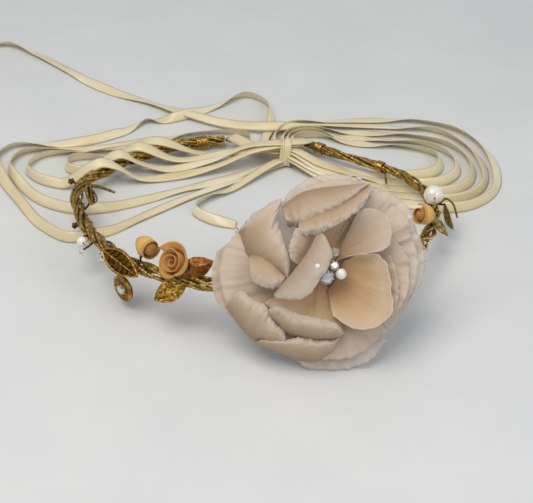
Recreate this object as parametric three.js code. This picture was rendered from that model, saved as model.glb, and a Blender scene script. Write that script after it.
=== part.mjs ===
// A bridal flower crown: an open ring of twisted gold vine with one big chiffon flower, small roses,
// gold leaves, pearls and rhinestones wired to it, and two satin ribbons tied to its open ends.
// Millimetres, +Z up. The crown lies on a table: the flower rests in front (-Y) and the open ends
// at the back (+Y). The origin is at the middle of the footprint, on the table.

import * as THREE from "three";

// ---------- driving dimensions ----------
const RING_CENTRE = [-1.5, 13.4, 13.6];     // middle of the ring, above the table
const RING_TILT = 7;                        // degrees that the front stands higher than the back
const CORE_RADIUS = 0.6;                    // paper-covered steel wire inside the vine
const STRAND_RADIUS = 0.65;
const STRAND_ORBIT = [1.6, 2.2];            // helix radius at the thin rear right, and elsewhere
const STRAND_TURNS = 9;
const CLEARANCE = 0.3;                      // between pieces that touch
const FLOWER_CENTRE = [26.6, -88, 25];      // from the middle of the ring
const FLOWER_LEAN = 55.5;                   // degrees that the flower's face is turned from +Z to -Y
const FLOWER_SQUASH = 0.91;                 // height of the flower over its width
const PETAL_THICKNESS = 0.7;
const FELT_RADIUS = 8;
const FELT_THICKNESS = 1;
const CHARM_RADIUS = 6.2;
const RIBBON_CORE_RADIUS = 0.45;            // the ribbons are drawn by their centre lines only
const TIE_CENTRE = [13.6, 61];              // where the ribbons are gathered, from the ring's middle
const TIE_LEVEL_PITCH = 1.3;                // height between the ribbon runs inside the tie
const TIE_LOWEST_LEVEL = 1.6;

// Tiers of the big flower from the outside in: petals, reach from the axis, base height along the
// axis, how fast the tier rises with the square of the radius, and the turn of its first petal.
const PETAL_TIERS = [
  { name: "outer_petal", count: 5, inner: 5.2, reach: 45.5, base: -9, rise: 0.0005, turn: -90 },
  { name: "middle_petal", count: 4, inner: 5, reach: 37, base: -6.6, rise: 0.0065, turn: 40 },
  { name: "inner_petal", count: 3, inner: 4.8, reach: 28, base: -4.1, rise: 0.0145, turn: 10 },
  { name: "heart_petal", count: 2, inner: 4.6, reach: 16.5, base: -1.7, rise: 0.043, turn: 70 },
];

// The vine's centre line from the left open end, round the front, to the right open end:
// across, away from the front, and height above the tilted plane of the ring.
const BAND_LINE = [
  [-17, 79, 0], [-32, 75, 0], [-48, 67.5, 0], [-63, 55.5, 0], [-75, 41, 0], [-83, 28, 0],
  [-85, 14, 0], [-83, 0, 0], [-79, -15, 0.2], [-72.5, -31, 1], [-64, -46.5, 1.8], [-53, -60, 2],
  [-38, -70.5, 2], [-20, -77.5, 1.6], [0, -80.5, 1], [20, -79, 0.5], [40, -72, 0], [58, -59, 0],
  [71, -42, 0], [79, -22, 0], [82, -2, 0], [79.5, 18, 0], [74.5, 29, 0], [69, 38, 0],
  [61, 45.5, 0], [51, 53.5, 0], [41, 60.5, 0], [32, 68, 0], [24, 76, 0],
];

// Finishes: colour, roughness, metalness.
const FINISHES = {
  antiqueGold: [0x9a7434, 0.42, 0.85],
  foilGold: [0xc09a3e, 0.3, 0.95],
  darkGold: [0x5a3d22, 0.55, 0.7],
  steelWire: [0xb8b2a4, 0.35, 0.9],
  chiffon: [0xdcc3b0, 0.85, 0],
  tanPaper: [0xc98f4e, 0.7, 0],
  pearl: [0xece8dc, 0.22, 0],
  crystal: [0xf4f6f8, 0.05, 0],
  silver: [0xc9c9c6, 0.25, 1],
  felt: [0xe9dfd0, 0.95, 0],
  satin: [0xeee6cf, 0.5, 0],
};

const crown = new THREE.Group();
crown.position.set(...RING_CENTRE);

function finish(name) {
  const [color, roughness, metalness] = FINISHES[name];
  return new THREE.MeshStandardMaterial({ color, roughness, metalness });
}

function add(name, geometry, finishName, parent = crown) {
  const mesh = new THREE.Mesh(geometry, finish(finishName));
  mesh.name = name;
  parent.add(mesh);
  return mesh;
}

function vector(values) {
  return new THREE.Vector3(...values);
}

// Puts a piece at a place, with its own +X along one direction and its +Z as near as can be to another.
function place(piece, at, along, facing) {
  const x = vector(along).normalize();
  const y = vector(facing).cross(x).normalize();
  const z = new THREE.Vector3().crossVectors(x, y);
  piece.quaternion.setFromRotationMatrix(new THREE.Matrix4().makeBasis(x, y, z));
  piece.position.set(...at);
  return piece;
}

// ---------- shapes ----------
function roundSection(radius, sides) {
  const section = new THREE.Shape();
  section.moveTo(radius, 0);
  for (let side = 1; side < sides; side++) {
    const angle = (2 * Math.PI * side) / sides;
    section.lineTo(radius * Math.cos(angle), radius * Math.sin(angle));
  }
  section.closePath();
  return section;
}

function wire(points, radius, steps, sides = 6) {
  const extrudePath = new THREE.CatmullRomCurve3(points.map(vector), false, "centripetal");
  return new THREE.ExtrudeGeometry(roundSection(radius, sides), { steps, extrudePath });
}

function turned(profile, segments) {
  const points = profile.map(([radius, height]) => new THREE.Vector2(radius, height));
  return new THREE.LatheGeometry(points, segments).rotateX(Math.PI / 2);
}

// A sphere with a bore along its own X.
function boredBead(radius, boreRadius, segments = 16, rows = 10) {
  const profile = [];
  const start = Math.asin(boreRadius / radius);
  for (let row = 0; row <= rows; row++) {
    const angle = start + ((Math.PI - 2 * start) * row) / rows;
    profile.push([radius * Math.sin(angle), -radius * Math.cos(angle)]);
  }
  profile.push(profile[0]);
  return turned(profile, segments).rotateY(Math.PI / 2);
}

function bead(radius, segments = 10) {
  return new THREE.SphereGeometry(radius, segments, 7);
}

// A thin closed shell around surface(u, v), with u along it and v across it, both from 0 to 1.
function shell(surface, columns, rows, thickness) {
  const step = 1e-3;
  const positions = [];
  for (const side of [0.5, -0.5]) {
    for (let i = 0; i <= columns; i++) {
      for (let j = 0; j <= rows; j++) {
        const u = i / columns;
        const v = j / rows;
        const alongU = surface(u + step, v).sub(surface(u - step, v));
        const alongV = surface(u, v + step).sub(surface(u, v - step));
        const normal = alongU.cross(alongV).normalize();
        positions.push(...surface(u, v).addScaledVector(normal, side * thickness));
      }
    }
  }
  const back = (columns + 1) * (rows + 1);
  const at = (i, j) => i * (rows + 1) + j;
  const faces = [];
  const quad = (a, b, c, d) => faces.push(a, b, c, a, c, d);
  for (let i = 0; i < columns; i++) {
    for (let j = 0; j < rows; j++) {
      quad(at(i, j), at(i + 1, j), at(i + 1, j + 1), at(i, j + 1));
      quad(back + at(i, j), back + at(i, j + 1), back + at(i + 1, j + 1), back + at(i + 1, j));
    }
    quad(at(i, 0), back + at(i, 0), back + at(i + 1, 0), at(i + 1, 0));
    quad(at(i, rows), at(i + 1, rows), back + at(i + 1, rows), back + at(i, rows));
  }
  for (let j = 0; j < rows; j++) {
    quad(at(0, j), at(0, j + 1), back + at(0, j + 1), back + at(0, j));
    quad(at(columns, j), back + at(columns, j), back + at(columns, j + 1), at(columns, j + 1));
  }
  const geometry = new THREE.BufferGeometry();
  geometry.setAttribute("position", new THREE.Float32BufferAttribute(positions, 3));
  geometry.setIndex(faces);
  return geometry;
}

// A pointed leaf along its own +X, arched towards +Z and folded up along its middle rib.
function leaf(length, width, arch, fold, thickness) {
  const surface = (u, v) => {
    const across = 2 * v - 1;
    const half = 0.3 + (width / 2) * Math.sin(Math.PI * (0.04 + 0.92 * u)) ** 0.9;
    const height = arch * Math.sin(Math.PI * u) + fold * Math.abs(across);
    return new THREE.Vector3(length * u, half * across, height);
  };
  return shell(surface, 7, 4, thickness);
}

// ---------- the vine ----------
const tiltSlope = Math.tan(THREE.MathUtils.degToRad(RING_TILT));
const bandPoints = BAND_LINE.map(([x, y, lift]) => [x, y, lift - y * tiltSlope]);
const bandCurve = new THREE.CatmullRomCurve3(bandPoints.map(vector), false, "centripetal");
const ringNormal = new THREE.Vector3(0, tiltSlope, 1).normalize();

function bandFrame(t) {
  const centre = bandCurve.getPointAt(t);
  const tangent = bandCurve.getTangentAt(t);
  const outward = new THREE.Vector3().crossVectors(tangent, ringNormal).normalize();
  const up = new THREE.Vector3().crossVectors(outward, tangent).normalize();
  return { centre, tangent, outward, up };
}

add("core_wire", wire(bandPoints, CORE_RADIUS, 64), "steelWire");

// The strands open out from the thin rear right to their full width over the rest of the ring.
function strandOrbit(t) {
  const [thin, full] = STRAND_ORBIT;
  return thin + (full - thin) * THREE.MathUtils.smoothstep(1 - t, 0.12, 0.35);
}

const STRAND_COUNT = 3;
const STRAND_STEPS = 100;
for (let strand = 0; strand < STRAND_COUNT; strand++) {
  const points = [];
  for (let step = 0; step <= STRAND_STEPS; step++) {
    const t = 0.012 + (0.976 * step) / STRAND_STEPS;
    const { centre, outward, up } = bandFrame(t);
    const angle = 2 * Math.PI * (STRAND_TURNS * t + strand / STRAND_COUNT);
    centre.addScaledVector(outward, strandOrbit(t) * Math.cos(angle));
    centre.addScaledVector(up, strandOrbit(t) * Math.sin(angle));
    points.push(centre.toArray());
  }
  add(`vine_strand_${strand + 1}`, wire(points, STRAND_RADIUS, STRAND_STEPS), "antiqueGold");
}

// A short sleeve of fine wire bound round the strands.
function binding(name, t, length, innerRadius, wall) {
  const profile = [
    [innerRadius, -length / 2],
    [innerRadius + wall, -length / 2 + wall / 2],
    [innerRadius + wall, length / 2 - wall / 2],
    [innerRadius, length / 2],
    [innerRadius, -length / 2],
  ];
  const { centre, tangent, up } = bandFrame(t);
  const sleeve = add(name, turned(profile, 12).rotateY(Math.PI / 2), "darkGold");
  place(sleeve, centre.toArray(), tangent.toArray(), up.toArray());
}

const SLEEVE_BORE = 3.2;
const THIN_SLEEVE_BORE = 2.65;
binding("end_binding_left", 0.025, 5, SLEEVE_BORE, 0.45);
binding("end_binding_right", 0.978, 4, THIN_SLEEVE_BORE, 0.45);
binding("middle_binding", 0.9, 3, THIN_SLEEVE_BORE, 0.6);

// An eye of wire at each open end, for the ribbon.
function endEye(name, t, sign) {
  const { centre, tangent } = bandFrame(t);
  const middle = centre.addScaledVector(tangent, sign * 3.4);
  const eye = add(name, new THREE.TorusGeometry(2.3, 0.55, 6, 16), "antiqueGold");
  place(eye, middle.toArray(), tangent.toArray(), [0, tiltSlope, 1]);
}

endEye("ribbon_eye_left", 0, -1);
endEye("ribbon_eye_right", 1, 1);

// Open-work cast leaves: an almond outline with slots between its veins.
function openworkLeaf(name, length, width, at, along, facing) {
  const half = length / 2;
  const outline = new THREE.Shape();
  outline.moveTo(-half, 0);
  outline.quadraticCurveTo(0, width, half, 0);
  outline.quadraticCurveTo(0, -width, -half, 0);
  const slotEnd = half * 0.66;
  const ribHalf = 0.35;
  for (const side of [-1, 1]) {
    const slot = new THREE.Path();
    slot.moveTo(-side * slotEnd, side * ribHalf);
    slot.lineTo(side * slotEnd, side * ribHalf);
    slot.quadraticCurveTo(0, side * width * 0.86, -side * slotEnd, side * ribHalf);
    outline.holes.push(slot);
  }
  const plate = new THREE.ExtrudeGeometry(outline, { depth: 0.8, bevelEnabled: false, curveSegments: 6 });
  plate.translate(0, 0, -0.4);
  place(add(name, plate, "antiqueGold"), at, along, facing);
}

openworkLeaf("openwork_leaf_front", 22, 9, [-58.8, -63.4, 12.6], [0.72, -0.66, -0.18], [-0.58, -0.5, 0.64]);
openworkLeaf("openwork_leaf_side", 19, 7, [-77.7, 4, 4.6], [0.13, -0.98, 0.1], [0.75, 0.1, 0.65]);

// ---------- leaves and twigs ----------
place(add("foil_leaf", leaf(15, 9.5, 1.2, -1.4, 0.7), "foilGold"),
  [-36.8, -77.4, 7.6], [-0.86, -0.14, -0.49], [-0.1, -0.8, 0.6]);
place(add("rose_leaf", leaf(14, 9, 1, 1.2, 0.7), "tanPaper"),
  [-25.4, -73, 16.4], [0.84, 0.12, 0.3], [0.1, -0.75, 0.65]);
place(add("ribbed_leaf", leaf(12, 5.6, 0.6, 0.8, 0.6), "antiqueGold"),
  [83.2, -18.6, 2.2], [0.5, -0.66, -0.5], [0.5, -0.4, 0.76]);
place(add("edge_leaf", leaf(19, 5.5, 1.6, 1, 0.6), "antiqueGold"),
  [88.1, -3, -2.4], [-0.14, 0.96, 0.12], [0.97, 0.14, -0.2]);

const STEM_END = [[85.8, 5, -0.5], [88, 6.5, 1], [91, 1, 1.8], [92.4, -8, 0]];
add("stem_end_right", wire(STEM_END, 0.45, 8), "antiqueGold");
add("twig_right", wire([[62, 41.6, -6.2], [62.2, 38.6, -7], [62.6, 35.6, -8.6]], 0.5, 4), "darkGold");
add("twig_left", wire([[-79.6, 22.6, -1.8], [-75, 19, -0.2], [-67, 10.6, 2]], 0.8, 6), "darkGold");

// ---------- bead settings, small rhinestone and clear beads at the left ----------
const STONE_PROFILE = [[0, -0.55], [0.42, -0.32], [0.5, -0.05], [0.32, 0.2], [0, 0.2]];

function rhinestone(name, diameter, at, facing, parent = crown) {
  const profile = STONE_PROFILE.map(([r, h]) => [r * diameter, h * diameter]);
  const stone = add(name, turned(profile, 8), "crystal", parent);
  place(stone, at, [facing[2], 0, -facing[0]], facing);
}

// A cup with four prongs' worth of wall: an open dish that the stone drops into.
function stoneCup(name, diameter, at, facing, parent = crown) {
  const r = diameter / 2;
  const wall = 0.35;
  const profile = [
    [0, -0.72 * diameter - wall],
    [r * 0.8, -0.5 * diameter - wall],
    [r + CLEARANCE + wall, -0.12 * diameter],
    [r + CLEARANCE + wall, 0.12 * diameter],
    [r + CLEARANCE, 0.12 * diameter],
    [r + CLEARANCE, -0.12 * diameter],
    [r * 0.8, -0.5 * diameter],
    [0, -0.72 * diameter],
  ];
  const cup = add(name, turned(profile, 12), "silver", parent);
  place(cup, at, [facing[2], 0, -facing[0]], facing);
}

const OUT_LEFT = [-0.72, -0.62, 0.3];
add("bead_setting_rear", bead(1.75), "darkGold").position.set(-88.2, 21, 1.6);
add("bead_setting_side", bead(1.75), "darkGold").position.set(-83.2, -14.6, -0.2);
rhinestone("small_rhinestone", 2.6, [-67.4, -50.6, 8.6], OUT_LEFT);
add("crystal_bead", bead(1.3, 8), "crystal").position.set(-78.4, -36.6, 0.2);

// ---------- pearls that turn on their wires ----------
// A staple of fine wire runs through the pearl along its bore and down into the vine at both ends.
function pearlOnWire(name, radius, boreRadius, wireRadius, at, along, out) {
  const pearl = add(name, boredBead(radius, boreRadius), "pearl");
  place(pearl, at, along, out);
  const reach = radius + 1.2;
  const leg = [[-reach - 0.2, 0, -radius], [-reach, 0, -1.6], [-reach + 0.5, 0, -0.3], [-radius, 0, 0]];
  const otherLeg = leg.map(([x, y, z]) => [-x, y, z]).reverse();
  const staple = add(`${name}_wire`, wire([...leg, [0, 0, 0], ...otherLeg], wireRadius, 20), "steelWire");
  place(staple, at, along, out);
}

pearlOnWire("pearl_right", 4.5, 0.75, 0.3, [81.6, -0.5, 7.6], [0.03, -0.99, 0.12], [0, 0.12, 0.99]);
pearlOnWire("pearl_left", 2.3, 0.6, 0.25, [-78.2, -34.2, 4.2], [0.45, -0.88, 0.12], [-0.9, -0.42, 0]);

// ---------- the hanging charm ----------
// A coiled gold disc hangs by its bail from an eye on the vine and swings about the eye.
const CHARM_EYE = [-57.9, -60.2, 5.4];
const CHARM_ALONG = [0.66, -0.75, 0];
const CHARM_OUT = [-0.75, -0.66, 0];
const charm = place(new THREE.Group(), CHARM_EYE, CHARM_ALONG, CHARM_OUT);
crown.add(charm);
const LINK_RADIUS = 1.25;
const LINK_WIRE = 0.3;

function link(name) {
  return add(name, new THREE.TorusGeometry(LINK_RADIUS, LINK_WIRE, 6, 12), "antiqueGold", charm);
}

const charmEye = link("charm_eye");
charmEye.rotation.y = Math.PI / 2;
charmEye.position.y = LINK_RADIUS;
const LINK_SEAT = 2 * LINK_WIRE + CLEARANCE; // the bail's wire hangs this far above the eye's lowest wire
const bail = link("charm_bail");
bail.position.y = LINK_SEAT - LINK_RADIUS;
const discDrop = 2 * LINK_RADIUS - LINK_SEAT + LINK_WIRE + CLEARANCE + CHARM_RADIUS;
const disc = add("charm_disc", turned([
  [0, -0.8], [CHARM_RADIUS - 0.6, -0.8], [CHARM_RADIUS, 0], [CHARM_RADIUS - 0.6, 0.9],
  [CHARM_RADIUS - 1.6, 0.3], [0, 0.3],
], 24), "antiqueGold", charm);
disc.position.set(0, -discDrop, 0);
rhinestone("charm_crystal", 4.6, [0, -discDrop, 3.3], [0, 0, 1], charm);

// ---------- paper rosebuds and the open rose ----------
function rosebud(name, radius, height, at, axis) {
  const profile = [
    [0, -height / 2], [radius * 0.7, -height / 2], [radius, -height / 6], [radius * 0.92, height / 4],
    [radius * 0.6, height / 2], [0, height / 2],
  ];
  const group = place(new THREE.Group(), at, [axis[2], 0, -axis[0]], axis);
  crown.add(group);
  add(name, turned(profile, 12), "tanPaper", group);
  const foot = -height / 2;
  const calyx = [[0, foot - 2.2], [0.8, foot - 2.2], [radius * 0.72, foot - 0.3], [0, foot - 0.3]];
  add(`${name}_calyx`, turned(calyx, 10), "darkGold", group);
}

rosebud("rosebud_left", 5.2, 11, [-47.4, -62.6, 21.2], [0.32, -0.2, 0.92]);
rosebud("rosebud_right", 5, 11, [75.8, -24.5, 12], [-0.72, -0.2, 0.66]);
rosebud("rose", 8, 10, [-33.8, -75.4, 20.6], [-0.42, -0.5, 0.76]);

// ---------- the big chiffon flower ----------
const flower = new THREE.Group();
flower.position.set(...FLOWER_CENTRE);
flower.rotation.x = THREE.MathUtils.degToRad(FLOWER_LEAN);
crown.add(flower);

// The petals of a tier lie like shingles: each one's right edge rides over the next one's left.
function petal(tier, index) {
  const spacing = (2 * Math.PI) / tier.count;
  const middle = THREE.MathUtils.degToRad(tier.turn) + spacing * index;
  const surface = (u, v) => {
    const across = 2 * v - 1;
    const reach = tier.reach * (1 - 0.13 * across ** 4);
    const radius = tier.inner + (reach - tier.inner) * u;
    const share = radius / tier.reach;
    const half = spacing * (0.34 + 0.27 * Math.min(1, u * 1.6));
    const angle = middle + half * across;
    const shingle = (0.25 + 1.05 * share) * across;
    const x = radius * Math.cos(angle);
    const y = radius * Math.sin(angle) * FLOWER_SQUASH;
    return new THREE.Vector3(x, y, tier.base + tier.rise * radius ** 2 + shingle);
  };
  add(`${tier.name}_${index + 1}`, shell(surface, 6, 5, PETAL_THICKNESS), "chiffon", flower);
}

for (const tier of PETAL_TIERS) {
  for (let index = 0; index < tier.count; index++) {
    petal(tier, index);
  }
}

const CORE_PROFILE = [[0, -10.6], [3.4, -10.6], [3.6, -6], [2.8, -1.4], [0, -0.6]];
add("flower_core", turned(CORE_PROFILE, 12), "felt", flower);
const CENTRE_STONE = [2.4, -2.2, 5];
stoneCup("centre_stone_cup", 4.8, CENTRE_STONE, [0, 0, 1], flower);
rhinestone("centre_rhinestone", 4.8, CENTRE_STONE, [0, 0, 1], flower);
rhinestone("second_rhinestone", 3, [5.6, 2.6, 8], [0, 0, 1], flower);
add("centre_pearl", bead(2.6, 14), "pearl", flower).position.set(8.4, -1, 7.4);

// Felt discs in front of and behind the vine hold the flower. The rear one is the mounting pad.
const FLOWER_ON_BAND = 0.57;
const feltSeat = bandFrame(FLOWER_ON_BAND);
const flowerAxis = new THREE.Vector3(0, 0, 1).applyEuler(flower.rotation);
const feltNormal = flowerAxis.clone().addScaledVector(feltSeat.tangent, -flowerAxis.dot(feltSeat.tangent));
feltNormal.normalize();

function feltDisc(name, offset) {
  const middle = feltSeat.centre.clone().addScaledVector(feltNormal, offset);
  const disc = new THREE.CylinderGeometry(FELT_RADIUS, FELT_RADIUS, FELT_THICKNESS, 28).rotateX(Math.PI / 2);
  place(add(name, disc, "felt"), middle.toArray(), feltSeat.tangent.toArray(), feltNormal.toArray());
}

const bandHalf = STRAND_ORBIT[1] + STRAND_RADIUS + CLEARANCE;
feltDisc("felt_disc_front", bandHalf + FELT_THICKNESS / 2 + 0.1);
feltDisc("felt_disc_back", -bandHalf - FELT_THICKNESS / 2 - 0.7);

// ---------- the satin ribbons ----------
// Each ribbon is tied to one eye, runs through the tie between loops at the right and at the left,
// and lies on the table. Points: across and away from the ring's middle, and height above the table.
const [tieX, tieY] = TIE_CENTRE;

function throughTie(level) {
  return [tieX, tieY, TIE_LOWEST_LEVEL + TIE_LEVEL_PITCH * level];
}

const RIBBON_LEFT = [
  [-13.7, 79.9, 5.4], [-11.4, 76, 6.8], [-3, 67.4, 7.2], [7, 62, 7.8], throughTie(5), [30, 56.5, 4],
  [54, 50.5, 1.4], [75, 47, 0.9], [89, 53, 0.9], [90, 66, 0.9], [74, 76, 0.9], [50, 81, 0.9],
  [31, 86.5, 1.2], [17.6, 84.4, 2.6], [16.4, 75, 5.4], [20.4, 68.4, 9], [20, 63.4, 11], throughTie(8),
  [-2, 58.4, 10], [-20, 54, 4], [-40, 48.5, 1.4], [-58, 44.5, 2.6], [-68, 42, 10.4],
  [-75.5, 39.8, 14.2], [-84, 38.5, 10], [-95, 39.5, 2.4], [-107, 44, 0.9], [-114, 54, 0.9],
  [-108, 66, 0.9], [-90, 71, 1.2], [-68, 71.5, 5], [-50, 67, 10.6], [-30, 66, 4.4], [-8, 63, 6],
  throughTie(6), [31, 51.5, 4], [52, 43.5, 1.3], [72, 34.5, 0.9], [91, 32, 0.9], [104, 42, 0.9],
  [106, 60, 0.9], [97, 77, 0.9], [77, 88, 0.9], [52, 91.5, 0.9], [30, 93.5, 1], [14, 88, 2],
  [11.4, 75, 2], [17, 68, 1.6], [20.4, 64, 1.6], [17.6, 61.4, 1.6], throughTie(0), [3, 55, 1],
  [-12, 44.5, 0.9], [-33, 30, 0.9], [-55, 12, 0.9], [-73, -3, 0.9], [-88, -8, 0.9], [-101, 4, 0.9],
  [-114, 26, 0.9],
  [-126, 48, 0.9], [-131, 64, 0.9], [-125, 76, 0.9], [-109, 80, 0.9], [-90, 81, 0.9], [-72, 90, 0.9],
  [-58, 103, 0.9], [-41, 106, 0.9], [-22, 120, 0.9], [-6, 129, 0.9], [5, 119, 0.9], [7, 102, 1],
  [3.6, 84, 2], [3.4, 73, 4], [7, 64.6, 5.4], throughTie(3), [33, 45.5, 2], [56, 32, 0.9],
  [78, 21, 0.9], [98, 18, 0.9], [113, 30, 0.9], [118, 51, 0.9], [114, 75, 0.9], [102, 93, 0.9],
  [82, 103, 0.9], [58, 104.5, 0.9], [36, 102.5, 0.9], [17, 97, 1], [8, 86, 1.6], [8.4, 75, 3],
  [14.4, 69.4, 4], [18.8, 65, 4.4], [18, 62.2, 4.3], throughTie(2), [7.6, 56.4, 4], [-12, 38, 0.9],
  [-25, 26, 0.9], [-30, 16, 0.9], [-22, 8, 0.9], [-10, 5, 0.9],
];
const RIBBON_RIGHT = [
  [21.6, 78.4, 4], [22.6, 74, 6.8], [25, 68, 10.4], [21.6, 62.8, 12.8], throughTie(9),
  [-4, 61.4, 11], [-24, 57.5, 5], [-44, 54, 2], [-58, 52.2, 6.6], [-67.5, 50, 13], [-82, 50, 3.8],
  [-94, 54.5, 0.9], [-93, 63, 0.9], [-78, 65, 2], [-67, 62.6, 7], [-58.6, 60.6, 11], [-40, 60.5, 3.6],
  [-14, 61, 7.6], throughTie(7), [31, 54, 5.4], [53, 47.3, 1.5], [73, 40.6, 0.9], [89, 41, 0.9],
  [98, 50, 0.9], [98, 64, 0.9], [86, 77, 0.9], [64, 84, 0.9], [44, 87, 0.9], [29, 90.2, 1],
  [15.6, 86, 2.2], [13.9, 75, 2.8], [18, 68, 2.9], [19.4, 63.2, 2.9], throughTie(1), [-3, 53.6, 1.4],
  [-16, 45.5, 1], [-38, 36, 0.9], [-62, 23, 0.9], [-84, 16.5, 0.9], [-102, 24, 0.9],
  [-115, 40, 0.9], [-123, 56, 0.9], [-119, 69, 0.9], [-103, 74.5, 0.9], [-80, 76, 0.9],
  [-60, 80, 0.9], [-38, 88.5, 0.9], [-20, 90.5, 0.9], [-4, 86, 2.4], [-0.6, 74, 5.4],
  [4.6, 65, 6.6], throughTie(4), [32, 48.6, 3.2], [54, 38, 0.9], [75, 27.5, 0.9], [95, 25, 0.9],
  [109, 36, 0.9], [112, 56, 0.9], [106, 76, 0.9], [92, 91, 0.9], [70, 97, 0.9], [46, 98, 1.6],
  [25, 95.6, 3.4], [8, 92.4, 4.4], [-14, 97, 3], [-36, 108, 2.8], [-57, 123, 1.2], [-85, 140, 0.9],
  [-104, 160, 0.9], [-125, 180, 0.9], [-140, 188.5, 0.9], [-156, 187.5, 0.9],
];

function ribbon(name, route, steps) {
  const points = route.map(([x, y, height]) => [x, y, height - RING_CENTRE[2]]);
  add(name, wire(points, RIBBON_CORE_RADIUS, steps, 8), "satin");
}

ribbon("ribbon_left", RIBBON_LEFT, 120);
ribbon("ribbon_right", RIBBON_RIGHT, 100);

// The tie: a short end of ribbon wrapped round all the runs, a ring with round corners.
const TIE_WIDTH = 5;
const TIE_WALL = 0.8;
const TIE_OPENING = 6.4;
const TIE_TOP_LEVEL = 9;
const tieOpeningHeight = TIE_LEVEL_PITCH * TIE_TOP_LEVEL + 2 * (RIBBON_CORE_RADIUS + CLEARANCE);

function roundedRing(PathClass, width, height, corner) {
  const [x, y] = [width / 2 - corner, height / 2 - corner];
  const path = new PathClass();
  path.absarc(x, y, corner, 0, Math.PI / 2);
  path.absarc(-x, y, corner, Math.PI / 2, Math.PI);
  path.absarc(-x, -y, corner, Math.PI, 1.5 * Math.PI);
  path.absarc(x, -y, corner, 1.5 * Math.PI, 2 * Math.PI);
  path.closePath();
  return path;
}

const tieOutline = roundedRing(THREE.Shape, TIE_OPENING + 2 * TIE_WALL, tieOpeningHeight + 2 * TIE_WALL, 2);
tieOutline.holes.push(roundedRing(THREE.Path, TIE_OPENING, tieOpeningHeight, 1.2));
const tieSettings = { depth: TIE_WIDTH, bevelEnabled: false, curveSegments: 3 };
const tie = add("ribbon_tie", new THREE.ExtrudeGeometry(tieOutline, tieSettings), "satin");
const tieMiddle = TIE_LOWEST_LEVEL - RIBBON_CORE_RADIUS - CLEARANCE + tieOpeningHeight / 2;
place(tie, [tieX - TIE_WIDTH / 2, tieY, tieMiddle - RING_CENTRE[2]], [0, 1, 0], [1, 0, 0]);

export default crown;
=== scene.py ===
"""A bridal flower crown of gold vine, chiffon, paper roses and satin ribbon, made round its CAD frame.

Metres, +Z up. The crown lies on a table with the big flower in front (-Y) and its open ends behind.
"""

import math

import bmesh
import bpy
import numpy as np
from mathutils import Matrix, Vector, noise


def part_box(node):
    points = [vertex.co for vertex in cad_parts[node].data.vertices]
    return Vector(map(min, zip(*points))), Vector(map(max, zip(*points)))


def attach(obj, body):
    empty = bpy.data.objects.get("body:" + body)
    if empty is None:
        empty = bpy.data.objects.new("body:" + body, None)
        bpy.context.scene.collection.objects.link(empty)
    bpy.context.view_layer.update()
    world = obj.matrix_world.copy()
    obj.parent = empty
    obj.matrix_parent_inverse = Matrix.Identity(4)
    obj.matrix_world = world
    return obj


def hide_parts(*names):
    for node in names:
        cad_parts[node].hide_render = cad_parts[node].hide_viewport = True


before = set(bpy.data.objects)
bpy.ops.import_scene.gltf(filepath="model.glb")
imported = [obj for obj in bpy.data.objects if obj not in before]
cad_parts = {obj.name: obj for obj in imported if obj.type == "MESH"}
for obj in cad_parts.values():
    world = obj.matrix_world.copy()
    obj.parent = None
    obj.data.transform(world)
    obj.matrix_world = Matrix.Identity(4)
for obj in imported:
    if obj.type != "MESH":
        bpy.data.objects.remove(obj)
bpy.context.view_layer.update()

# ---------- the table, the lamps and the camera ----------
# The crown lies on a wide matt white table. A large soft lamp hangs above it, a little in front and to
# the left, a weaker one stands at the right, and the room is bright, so that shadows are pale and soft.
MM = 0.001


def linear(colour):
    """An sRGB hex colour as linear red, green, blue and alpha."""
    channels = [int(colour[i : i + 2], 16) / 255 for i in (1, 3, 5)]
    return [c / 12.92 if c <= 0.04045 else ((c + 0.055) / 1.055) ** 2.4 for c in channels] + [1.0]


def add_node(tree, kind, values=None, links=None, **settings):
    """A node in a shader or geometry tree, with its settings, its sockets' values and its links."""
    node = tree.nodes.new(kind)
    for name, value in settings.items():
        setattr(node, name, value)
    for socket, value in (values or {}).items():
        node.inputs[socket].default_value = value
    for socket, source in (links or {}).items():
        tree.links.new(source, node.inputs[socket])
    return node


def new_material(name, values):
    """A material with one shader, and constant values on the shader's own sockets."""
    material = bpy.data.materials.new(name)
    material.use_nodes = True
    shader = material.node_tree.nodes["Principled BSDF"]
    for socket, value in values.items():
        shader.inputs[socket].default_value = value
    return material, material.node_tree, shader


def colour_ramp(tree, factor, colours, low=0.3, high=0.7):
    """Colours spread evenly between low and high of a factor."""
    ramp = add_node(tree, "ShaderNodeValToRGB", links={"Fac": factor})
    while len(ramp.color_ramp.elements) < len(colours):
        ramp.color_ramp.elements.new(0.5)
    for i, (element, colour) in enumerate(zip(ramp.color_ramp.elements, colours)):
        element.position = low + (high - low) * i / (len(colours) - 1)
        element.color = linear(colour)
    return ramp.outputs["Color"]


def mottled(name, colours, patch, relief, values):
    """A finish whose colour drifts in patches of one size, with a finer relief of a given depth."""
    material, tree, shader = new_material(name, values)
    place = add_node(tree, "ShaderNodeTexCoord").outputs["Object"]
    patches = add_node(
        tree, "ShaderNodeTexNoise", {"Scale": 1 / patch, "Detail": 4.0, "Roughness": 0.6}, {"Vector": place}
    )
    tree.links.new(colour_ramp(tree, patches.outputs["Fac"], colours), shader.inputs["Base Color"])
    grain = add_node(tree, "ShaderNodeTexNoise", {"Scale": 4 / patch, "Detail": 3.0}, {"Vector": place})
    bump = add_node(
        tree, "ShaderNodeBump", {"Strength": 1.0, "Distance": relief}, {"Height": grain.outputs["Fac"]}
    )
    tree.links.new(bump.outputs["Normal"], shader.inputs["Normal"])
    return material


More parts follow.
